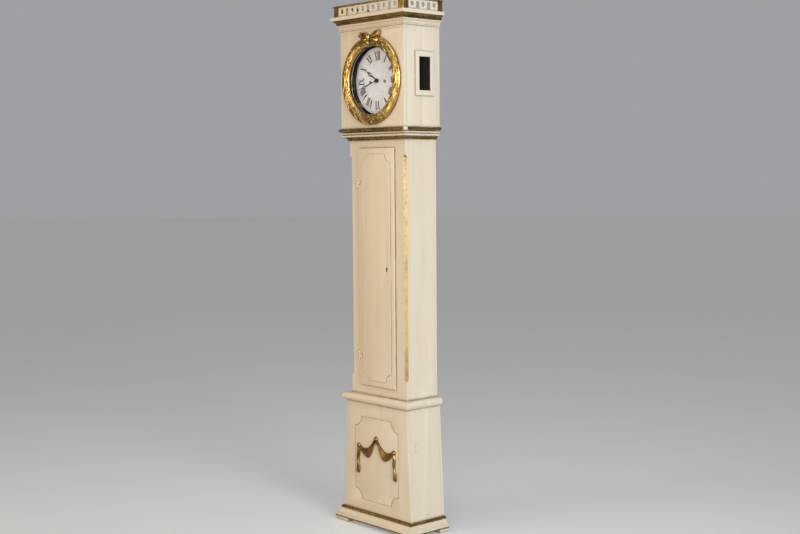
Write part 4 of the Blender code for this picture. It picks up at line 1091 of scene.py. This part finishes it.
def build_bow_knot():
    rows, columns, half, radius, pleats = 16, 36, 0.0100, 0.0115, 6
    depth, z, flat = 0.2165, 2.0545, 0.72
    rings = []
    for i in range(rows + 1):
        t = math.pi * i / rows
        ring = []
        for j in range(columns):
            a = 2 * math.pi * j / columns
            pleat = 1 + 0.13 * math.cos(pleats * a) * math.sin(t)
            r = radius * math.sin(t) ** 0.7 * pleat + ON_AXIS
            ring.append(
                (-half * math.cos(t), y_at(depth + flat * r * math.sin(a)), z + r * math.cos(a))
            )
        rings.append(ring)
    ring_piece("bow_knot", rings, "gilding", "hood_door", replaces=("bezel_bow",), sharp=60)


def bow_lobe(bm, sign):
    """One looped half of the bow: a full fold with a hollow in it, gathered to the knot."""
    across, along = 30, 40
    rings = []
    for i in range(along + 1):
        u = i / along
        half = 0.0060 + 0.0095 * math.sin(math.pi * min(1.0, u**0.85 * 0.80 + 0.02)) ** 1.1
        if u > 0.86:
            half *= math.sqrt(max(0.02, 1 - ((u - 0.86) / 0.14) ** 2))
        middle_z = 2.0555 + 0.0140 * math.sin(1.25 * u) + (0.0025 if sign > 0 else -0.0010) * u
        x = sign * (0.005 + 0.0585 * u)
        front = []
        for j in range(across + 1):
            v = 2 * j / across - 1
            dome = math.sqrt(max(0.0, 1 - abs(v) ** 2.6))
            slot_v = 0.10 + 0.25 * u
            hollow = math.exp(-(((v - slot_v) / 0.26) ** 2 + ((u - 0.58) / 0.27) ** 2) * 1.4)
            pleat = 0.0016 * math.cos(3.6 * math.pi * v + 0.6) * (1 - 0.75 * u)
            depth = 0.2075 + 0.0112 * dome * (
                0.80 + 0.20 * math.sin(math.pi * u)
            ) - 0.0105 * hollow + pleat * dome
            front.append((x, y_at(max(depth, 0.2066)), middle_z + v * half))
        rear = [(x, y_at(0.2060), z) for _, _, z in reversed(front)]
        rings.append(front + rear)
    add_rings(bm, rings)


def build_hood():
    for side, sign in SIDES:
        build_hood_side(side, sign)
    build_hood_base()
    build_cornice()
    build_gallery()
    build_hood_door()


# ---- plinth swag --------------------------------------------------------------------------------
def drape(name, upper, lower, folds):
    """Hanging cloth between an upper and a lower edge, in swelling folds."""
    top, bottom = curve_through(upper, 9), curve_through(lower, 9)
    base, steps = PLINTH_DEPTH + 0.0003, 26
    count = len(top)
    front, rear = [], []
    for i, (a, b) in enumerate(zip(top, bottom)):
        u = i / (count - 1)
        row_front, row_rear = [], []
        for j in range(steps + 1):
            v = j / steps
            x, z = a + (b - a) * v
            swell = math.sin(math.pi * min(1.0, 0.04 + v * 0.96)) ** 0.5
            fold = 0.5 + 0.5 * math.cos(
                2 * math.pi * folds * (v ** 0.85) + 0.8 * math.sin(math.pi * u)
            )
            depth = base + 0.0026 + swell * (0.0032 + 0.0036 * fold) * (
                0.55 + 0.45 * math.sin(math.pi * u)
            )
            row_front.append((x, y_at(depth), z))
            row_rear.append((x, y_at(base), z))
        front.append(row_front)
        rear.append(row_rear)
    rings = [f + r[::-1] for f, r in zip(front, rear)]
    ring_piece(name, rings, "swag_gilding", "case", sharp=70)


def tail(name, x, top, bottom, sign):
    """A gathered end hanging from a knot, tied below its middle and split at the foot."""
    base, tie, steps, across = PLINTH_DEPTH + 0.0003, 0.57, 48, 26

    def middle(t):
        return x + sign * 0.0065 * t + 0.0022 * math.sin(3.0 * math.pi * t)

    rings = []
    for i in range(steps + 1):
        t = i / steps
        if t < tie:
            half = 0.0046 + 0.0036 * math.sin(math.pi * t / tie)
        else:
            half = 0.0046 + 0.0056 * math.sin(0.62 * math.pi * (t - tie) / (1 - tie))
        half *= 1.0 - 0.25 * smooth_step((t - 0.90) / 0.10)
        deep = 0.0052 + 0.25 * half
        ring = []
        for j in range(across + 1):
            s = 2 * j / across - 1
            fold = 0.80 + 0.20 * math.cos(3 * math.pi * s + 5.0 * t)
            d = base + 0.0010 + deep * math.sqrt(max(0.0, 1 - abs(s) ** 2.6)) * fold
            drop = 0.0095 * abs(s) ** 1.4 * smooth_step((t - 0.72) / 0.28)
            ring.append((middle(t) + half * s, y_at(d), top + (bottom + 0.0095 - top) * t - drop))
        left, right = ring[0], ring[-1]
        ring += [(right[0], y_at(base), right[2]), (left[0], y_at(base), left[2])]
        rings.append(ring)
    bm = bmesh.new()
    add_rings(bm, rings)
    knob(bm, middle(tie), top + (bottom + 0.0095 - top) * tie, 0.0070, 0.0084)
    finish_piece(name, bm, "swag_gilding", "case", sharp=70)


def knob(bm, x, z, radius, height):
    """A small gathered boss standing on the plinth's face."""
    base = PLINTH_DEPTH + 0.0002
    rings = []
    for i in range(9):
        t = math.pi / 2 * i / 8
        ring = []
        for j in range(30):
            a = 2 * math.pi * j / 30
            r = radius * math.cos(t) * (1 + 0.09 * math.cos(6 * a + 2 * t)) + 1e-5
            ring.append(
                (x + r * math.cos(a), y_at(base + height * math.sin(t)), z + r * math.sin(a))
            )
        rings.append(ring)
    add_rings(bm, rings)


def build_swag():
    for side, sign in SIDES:
        upper = [
            (0.002, 0.386), (0.013, 0.372), (0.030, 0.352), (0.052, 0.336), (0.078, 0.332),
            (0.110, 0.342),
        ]
        lower = [
            (0.008, 0.374), (0.017, 0.345), (0.031, 0.313), (0.050, 0.294), (0.078, 0.303),
            (0.108, 0.329),
        ]
        edges = [[(sign * x, z) for x, z in edge] for edge in (upper, lower)]
        drape(f"swag_drape_{side}", *edges, 3.2)
        tail(f"swag_tail_{side}", sign * 0.1125, 0.334, 0.220, sign)
        bm = bmesh.new()
        knob(bm, sign * 0.1120, 0.3395, 0.0098, 0.0104)
        finish_piece(f"swag_knot_{side}", bm, "swag_gilding", "case", sharp=60)
    bm = bmesh.new()
    knob(bm, 0.0, 0.3810, 0.0105, 0.0105)
    knob(bm, 0.0, 0.3640, 0.0070, 0.0080)
    finish_piece(
        "swag_apex", bm, "swag_gilding", "case", ("plinth_swag",), sharp=60
    )


# ---- dial and hands -----------------------------------------------------------------------------
def on_dial(angle, along, across):
    """A point at that radius and sideways step, for a mark that stands clockwise from XII."""
    x = along * math.sin(angle) + across * math.cos(angle)
    z = along * math.cos(angle) - across * math.sin(angle)
    return CENTRE[0] + x, CENTRE[1] + z


def add_stroke(bm, angle, corners, height):
    """A painted stroke on the dial's face: four (across, along) corners."""
    points = [on_dial(angle, along, across) for across, along in corners]
    add_rings(bm, [[(x, y_at(DIAL_FACE + d), z) for x, z in points] for d in (-0.0001, height)])


def numeral_strokes(letters):
    """A Roman numeral's strokes, each as four (across, along) corners in metres."""
    inner, outer = 0.0845, 0.1195
    widths = {"I": 0.0082, "V": 0.0190, "X": 0.0190}
    thick, thin, serif = 0.0029, 0.0010, 0.00080
    total = sum(widths[c] for c in letters)
    x = -total / 2
    strokes = []

    def stroke(foot, head, half):
        strokes.append(
            [(foot - half, inner), (foot + half, inner), (head + half, outer), (head - half, outer)]
        )

    for c in letters:
        middle = x + widths[c] / 2
        x += widths[c]
        span = widths[c] * 0.34
        if c == "I":
            stroke(middle, middle, thick)
            ends = ((inner, 0.0), (outer, 0.0))
            size = 0.0037
        else:
            foot = 0.0 if c == "V" else span
            stroke(middle + foot, middle - span, thick)
            stroke(middle - foot, middle + span, thin)
            ends = ((outer, -span), (outer, span)) + (
                ((inner, -span), (inner, span)) if c == "X" else ()
            )
            size = 0.0034
        for at, shift in ends:
            left, right = middle + shift - size, middle + shift + size
            strokes.append(
                [(left, at - serif), (right, at - serif), (right, at + serif), (left, at + serif)]
            )
    return strokes


def build_dial():
    winding = ((BARREL_X, BARREL_Z), (-BARREL_X, BARREL_Z))
    holes = [arc(centre, 0.0050, 0, 352, 44) for centre in (CENTRE, *winding)]
    disc = arc(CENTRE, DIAL_RADIUS, 0, 358, 179)
    plate(
        "dial_disc", [
            disc, *holes
        ], FRONT, DIAL_FACE - DIAL_THICKNESS, DIAL_THICKNESS, "dial_enamel",
        "case", ("dial",), bevel=0.0010, rounds=4,
    )
    bm = bmesh.new()
    for x, z in ((-0.055, 1.815), (0.055, 1.815), (0.0, 1.965)):
        lathe(bm, [(0.003, 0.1363), (0.003, 0.1622)], (x, z), 20)
    finish_piece("dial_feet", bm, "brass", "case")
    build_dial_painting(winding)
    build_hand("hour", HOUR_ANGLE, (0.1685, 0.1697), 0.0049)
    build_hand("minute", MINUTE_ANGLE, (0.1738, 0.1750), 0.0035)
    build_hand_collet()


def build_dial_painting(winding):
    """The numerals, the minute track and the rims of the winding holes."""
    bm = bmesh.new()
    numerals = ("XII", "I", "II", "III", "IIII", "V", "VI", "VII", "VIII", "IX", "X", "XI")
    paint, layer = 0.00012, 0.00001
    for hour, letters in enumerate(numerals):
        for i, corners in enumerate(numeral_strokes(letters)):
            add_stroke(bm, math.radians(30 * hour), corners, paint + layer * i)
    low, high = MINUTE_TRACK
    for minute in range(60):
        half = 0.00055 if minute % 5 == 0 else 0.00022
        corners = [(-half, low), (half, low), (half, high), (-half, high)]
        add_stroke(bm, math.radians(6 * minute), corners, paint)
    under, over, width = DIAL_FACE - 0.0001, DIAL_FACE + 0.00013, 0.0003
    for radius in MINUTE_TRACK:
        line = [(radius, under), (radius, over), (radius + width, over), (radius + width, under)]
        lathe(bm, line, CENTRE, 180, closed=True)
    edge, crown = DIAL_FACE + 0.00020, DIAL_FACE + 0.00035
    rim = [
        (0.0050, under), (0.0050, edge), (0.0054, crown), (0.0064, crown), (0.0067, edge),
        (0.0067, under),
    ]
    for centre in winding:
        lathe(bm, rim, centre, 40, closed=True)
    finish_piece("dial_numerals", bm, "numerals", "case", smooth=False)


def build_hand_collet():
    """The domed steel collet that holds the minute hand on its arbor."""
    back, low = 0.17665, 0.17595
    cup = [(ON_AXIS, back), (0.0036, back), (0.0036, low), (0.0058, low), (0.0062, low + 0.0004)]
    cup += [(0.0060, 0.17740), (0.0050, 0.17860), (0.0028, 0.17945), (ON_AXIS, 0.17965)]
    turned_piece(
        "hand_collet", cup, CENTRE, 40, "blackened_steel", "minute_hand", closed=True, sharp=40
    )


def build_hand(kind, angle, depth, bore):
    """A pierced blade on a round boss, drawn upright and turned to its hour."""
    if kind == "hour":
        stem, ring_at, ring_radius, tip, neck = 0.0400, 0.0510, 0.0088, 0.0800, 0.0021
    else:
        stem, ring_at, ring_radius, tip, neck = 0.0680, 0.0785, 0.0076, 0.1220, 0.0018
    half = [
        (0.0030, 0.0070), (0.0024, 0.0110), (neck, 0.0180), (neck, stem - 0.003),
        (neck + 0.0012, stem),
    ]
    half += [(neck, stem + 0.0015)]
    first = 90 - math.degrees(math.asin(neck / ring_radius))
    half += arc((0.0, ring_at), ring_radius, -first, first, 18)
    top = ring_at + ring_radius
    half += [
        (neck, top + 0.0010), (neck + 0.0018, top + 0.0030), (neck + 0.0002, top + 0.0065),
        (0.0003, tip),
    ]
    outline = half + [(-x, y) for x, y in reversed(half)]
    hole = arc((0.0, ring_at), ring_radius - 0.0029, 0, 345, 23)
    bm = plate_mesh([outline, hole], depth[1] - depth[0], 0.0002)
    turn = Matrix.Rotation(-angle, 4, "Z")
    move = plane_matrix(FRONT, depth[0]) @ Matrix.Translation((*CENTRE, 0)) @ turn
    bmesh.ops.transform(bm, matrix=move, verts=bm.verts)
    outer, low, high = 0.0092, depth[0] - 0.0002, depth[1] + 0.0009
    boss = [
        (bore, low), (outer - 0.0004, low), (outer, low + 0.0004),
        (outer - 0.0003, depth[1] + 0.0002),
    ]
    boss += [(0.0066, high - 0.0003), (0.0062, high), (bore, high)]
    lathe(bm, boss, CENTRE, 48, closed=True)
    hand = f"{kind}_hand"
    finish_piece(f"{hand}_blade", bm, "blackened_steel", hand, (hand,), sharp=35)


# ---- movement -----------------------------------------------------------------------------------
TRAINS = (("going", BARREL_X), ("strike", -BARREL_X))


def gut_strand(name, points, body, replaces=()):
    """A round line along points of (x, z), in the plane of the weights."""
    sides = 8
    rings = []
    for i, (px, pz) in enumerate(points):
        ax, az = points[min(i + 1, len(points) - 1)]
        bx, bz = points[max(i - 1, 0)]
        size = math.hypot(ax - bx, az - bz)
        nx, nz = (az - bz) / size, -(ax - bx) / size
        ring = []
        for j in range(sides):
            a = 2 * math.pi * j / sides
            u, v = LINE_RADIUS * math.cos(a), LINE_RADIUS * math.sin(a)
            ring.append((px + nx * u, y_at(LINE_DEPTH) + v, pz + nz * u))
        rings.append(ring)
    return ring_piece(name, rings, "gut_line", body, replaces=replaces, sharp=80)


def build_lines():
    """Each line falls to its weight, passes under the sheave and is tied up at the seatboard."""
    offset, steps = DRUM_RADIUS + LINE_RADIUS + LINE_GAP, 48
    for label, x in TRAINS:
        wound, tied = x - offset, x + offset + LINE_GAP
        falls = (
            ("fall", wound, BARREL_Z, (f"{label}_line",)), ("tied_fall", tied, LINE_TIED_Z, ())
        )
        for part, at, top, replaced in falls:
            length = top - AXLE_Z
            points = [(at, top - length * i / steps) for i in range(steps + 1)]
            strand = gut_strand(f"{label}_line_{part}", points, "case", replaced)
            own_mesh(strand)
        bend = arc(((wound + tied) / 2, AXLE_Z), (tied - wound) / 2, -180, 0, 24)
        gut_strand(f"{label}_line_bend", bend, f"{label}_weight")


def build_bell():
    outer = [
        (0.0360, 2.0050), (0.0345, 2.0160), (0.0280, 2.0280), (0.0150, 2.0370), (0.0060, 2.0385)
    ]
    inner = [
        (0.0060, 2.0355), (0.0140, 2.0345), (0.0260, 2.0260), (0.0320, 2.0150), (0.0335, 2.0050)
    ]
    lip = [(0.0345, 2.0044)]
    nut = [(0.0033, 2.0348), (0.0034, 2.0375), (0.0070, 2.0376), (0.0076, 2.0384), (0.0076, 2.0420)]
    nut += [(0.0068, 2.0432), (0.0040, 2.0440), (0.0032, 2.0459)]
    bm = bmesh.new()
    cup = curve_2d(outer, 5) + curve_2d(inner, 5) + lip
    lathe(bm, cup, (0.0, BELL_DEPTH), 80, upright=True, closed=True)
    lathe(bm, nut, (0.0, BELL_DEPTH), 40, upright=True)
    finish_piece("bell_cup", bm, "brass", "case", ("bell",), sharp=50)


def add_block(bm, x, depth, z):
    plan = rectangle(*x, *depth)
    add_rings(bm, [[(u, y_at(v), height) for u, v in plan] for height in z])


def about(middle, half):
    return middle - half, middle + half


def build_pendulum():
    """A steel rod on a suspension spring, with a turned brass bob and its rating nut."""
    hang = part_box("pendulum")[1].z - SPRING_TOP
    bob_z = hang - PENDULUM_LENGTH
    bm = bmesh.new()
    add_block(bm, (-0.0030, 0.0030), about(PENDULUM_DEPTH, 0.0020), (bob_z - 0.0950, hang - 0.0120))
    spring = (hang - 0.0130, hang + SPRING_TOP)
    add_block(bm, (-0.0040, 0.0040), about(PENDULUM_DEPTH, 0.0006), spring)
    finish_piece(
        "pendulum_rod", bm, "steel", "pendulum", ("pendulum",), smooth=False, soften=0.0004
    )
    front = [
        (ON_AXIS, 0.0118), (0.0120, 0.0112), (0.0330, 0.0095), (0.0580, 0.0058), (0.0680, 0.0028)
    ]
    front = curve_2d(front, 6)
    rim = [(0.0697, 0.0016), (0.0700, 0.0), (0.0697, -0.0016)]
    half = front + rim + [(r, -out) for r, out in reversed(front)]
    bob = [(r, PENDULUM_DEPTH + out) for r, out in half]
    turned_piece("pendulum_bob", bob, (0.0, bob_z), 120, "brass", "pendulum", sharp=50)
    nut = [(0.0078, -0.0880), (0.0085, -0.0873), (0.0085, -0.0807), (0.0078, -0.0800)]
    nut = [(r, bob_z + up) for r, up in nut]
    turned_piece(
        "rating_nut", nut, (0.0, PENDULUM_DEPTH), 24, "brass", "pendulum", upright=True, sharp=50
    )


def build_weights():
    for label, x in TRAINS:
        build_weight(label, x)
        build_stirrup(label, x)
        build_sheave(label)
        build_drum(label, x)


def build_weight(label, x):
    """A turned iron cylinder with a drawn-in neck."""
    top, length, body = AXLE_Z - 0.052, 0.1900, f"{label}_weight"
    shape = [(ON_AXIS, top - length), (0.0240, top - length)]
    shape += arc((0.0240, top - length + 0.0030), 0.0030, -60, 0, 5)
    shape += arc((0.0225, top - 0.0045), 0.0045, 0, 80, 7) + [
        (0.0100, top + 0.0008), (0.0048, top + 0.0030)
    ]
    shape += [(0.0030, top + 0.0070), (0.0030, AXLE_Z - 0.0345)]
    options = {"upright": True, "replaces": (body,), "sharp": 50}
    turned_piece(f"{body}_body", shape, (x, LINE_DEPTH), 72, "cast_iron", body, **options)


def build_stirrup(label, x):
    """The brass straps and the pin that hold the pulley over a weight."""
    width, half_depth, strap = about(x, 0.0050), 0.0070, 0.0020
    bm = bmesh.new()
    add_block(bm, width, about(LINE_DEPTH, half_depth), (AXLE_Z - 0.0360, AXLE_Z - 0.0320))
    for low in (-half_depth, half_depth - strap):
        depth = (LINE_DEPTH + low, LINE_DEPTH + low + strap)
        add_block(bm, width, depth, (AXLE_Z - 0.0321, AXLE_Z + 0.0060))
    pin = [(0.0024, depth) for depth in about(LINE_DEPTH, 0.0078)]
    lathe(bm, pin, (x, AXLE_Z), 24)
    finish_piece(f"{label}_stirrup", bm, "brass", f"{label}_weight", smooth=False, soften=0.0005)


def build_sheave(label):
    """The grooved pulley that the line runs under."""
    rim, groove, bore, round_off, half = 0.0255, DRUM_RADIUS, 0.0030, 0.0004, 0.0040
    side = [(bore, -half), (rim - round_off, -half), (rim, -half + round_off)]
    side += [(groove + 0.0007, -0.0018), (groove, -0.0009)]
    section = side + [(r, -d) for r, d in reversed(side)]
    low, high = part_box(f"{label}_pulley")
    turned_piece(
        f"{label}_sheave", [(r, LINE_DEPTH + d) for r, d in section], (
            (low.x + high.x) / 2, AXLE_Z
        ), 80,
        "brass", f"{label}_pulley", closed=True, replaces=(f"{label}_pulley",), sharp=40,
    )


def build_drum(label, x):
    """The grooved brass drum on a barrel, between its two flanges."""
    start, end = (0.0893 if label == "going" else 0.0902), 0.1207
    rim, bore, edge, turns, pitch, steps = 0.0252, 0.0190, 0.0003, 11, 0.0023, 6
    profile = [
        (bore, start), (rim - edge, start), (rim, start + edge), (rim, 0.0914),
        (DRUM_RADIUS, 0.0917),
    ]
    for i in range(turns * steps + 1):
        ripple = 0.0005 * math.cos(2 * math.pi * i / steps)
        profile.append((0.0214 + ripple, 0.0925 + pitch * i / steps))
    profile += [
        (DRUM_RADIUS, 0.1183), (rim, 0.1186), (rim, end - edge), (rim - edge, end), (bore, end)
    ]
    turned_piece(
        f"{label}_drum", profile, (
            x, BARREL_Z
        ), 80, "brass", f"{label}_barrel", closed=True, sharp=50
    )


def dress_cad_nodes():
    slots = {s["node"]: s["material_slot"] for s in frame["record"]["subparts"]}
    for name, obj in frame["nodes"].items():
        obj.data.materials.clear()
        obj.data.materials.append(FINISHES[CAD_FINISH.get(name, slots[name])])
        flush = name.startswith(("plinth_side", "trunk_side", "backboard"))
        if slots[name] in ("cream_paint", "bare_pine") and not flush:
            round_edges(obj, 0.0009)


# ---- stage --------------------------------------------------------------------------------------
def build_stage():
    p = Paint("studio_floor")
    colour = p.mix(p.noise(1.5, 4), (0.62, 0.615, 0.60), (0.585, 0.58, 0.57))
    p.set(Base_Color=colour, Roughness=p.patchy(4, 0.60, 0.75))
    p.set(Normal=p.bump(p.noise(80, 3), 0.05, 0.002))
    lift = p.times(p.node("LightPath").outputs["Is Camera Ray"], 0.22)
    p.set(Emission_Color=(1.0, 1.0, 1.0, 1), Emission_Strength=lift)
    bm = bmesh.new()
    bmesh.ops.create_circle(bm, cap_ends=True, radius=40.0, segments=96)
    mesh = bpy.data.meshes.new("floor")
    bm.to_mesh(mesh)
    bm.free()
    mesh.materials.append(p.material)
    floor = bpy.data.objects.new("floor", mesh)
    bpy.context.scene.collection.objects.link(floor)

    build_world()
    add_lamp("key", (3.9, -0.9, 1.9), (0.1, 0.0, 1.2), 1.5, 3.0, 60, (0.82, 0.91, 1.0))
    add_lamp("near_camera", (3.3, -3.6, 1.9), (0.0, 0.0, 1.2), 1.2, 3.0, 20, (1.0, 0.94, 0.86))
    add_lamp("front", (-1.6, -4.6, 1.9), (0.0, 0.0, 1.2), 2.2, 3.0, 38, (1.0, 0.80, 0.52))
    add_lamp("top", (0.8, -1.4, 4.4), (0.0, 0.0, 1.4), 2.4, 2.4, 14, (1.0, 0.98, 0.95))


def build_world():
    """A pale surround that lights softly and shows a little paler than it lights."""
    world = bpy.data.worlds.new("studio")
    bpy.context.scene.world = world
    world.use_nodes = True
    tree = world.node_tree
    shown = tree.nodes["Background"]
    shown.inputs["Color"].default_value = (0.34, 0.35, 0.37, 1)
    lighting = tree.nodes.new("ShaderNodeBackground")
    lighting.inputs["Color"].default_value = (0.90, 0.93, 1.0, 1)
    lighting.inputs["Strength"].default_value = 0.19
    path = tree.nodes.new("ShaderNodeLightPath")
    blend = tree.nodes.new("ShaderNodeMixShader")
    tree.links.new(path.outputs["Is Camera Ray"], blend.inputs["Fac"])
    tree.links.new(lighting.outputs["Background"], blend.inputs[1])
    tree.links.new(shown.outputs["Background"], blend.inputs[2])
    tree.links.new(blend.outputs["Shader"], tree.nodes["World Output"].inputs["Surface"])
    bpy.context.scene.view_settings.view_transform = "Standard"


def add_lamp(name, place, target, width, height, power, colour):
    data = bpy.data.lights.new(name, "AREA")
    data.shape = "RECTANGLE"
    data.size, data.size_y = width, height
    data.energy = power
    data.color = colour
    data.spread = math.radians(115)
    lamp = bpy.data.objects.new(name, data)
    lamp.location = place
    lamp.visible_camera = False
    aim = Vector(target) - Vector(place)
    lamp.rotation_mode = "QUATERNION"
    lamp.rotation_quaternion = aim.to_track_quat("-Z", "Y")
    bpy.context.scene.collection.objects.link(lamp)


def build_camera():
    data = bpy.data.cameras.new("camera")
    data.lens = 57.58
    data.sensor_width = 36.0
    camera = bpy.data.objects.new("camera", data)
    right, up = Vector((0.66734, 0.74472, -0.00741)), Vector((-0.04924, 0.05406, 0.99732))
    back = right.cross(up).normalized()
    up = back.cross(right).normalized()
    turn = Matrix((right, up, back)).transposed().to_4x4()
    camera.matrix_world = Matrix.Translation((4.0354, -3.5458, 1.4956)) @ turn
    bpy.context.scene.collection.objects.link(camera)
    bpy.context.scene.camera = camera


dress_cad_nodes()
build_case()
build_hood()
build_swag()
build_dial()
build_lines()
build_bell()
build_pendulum()
build_weights()
build_stage()
build_camera()
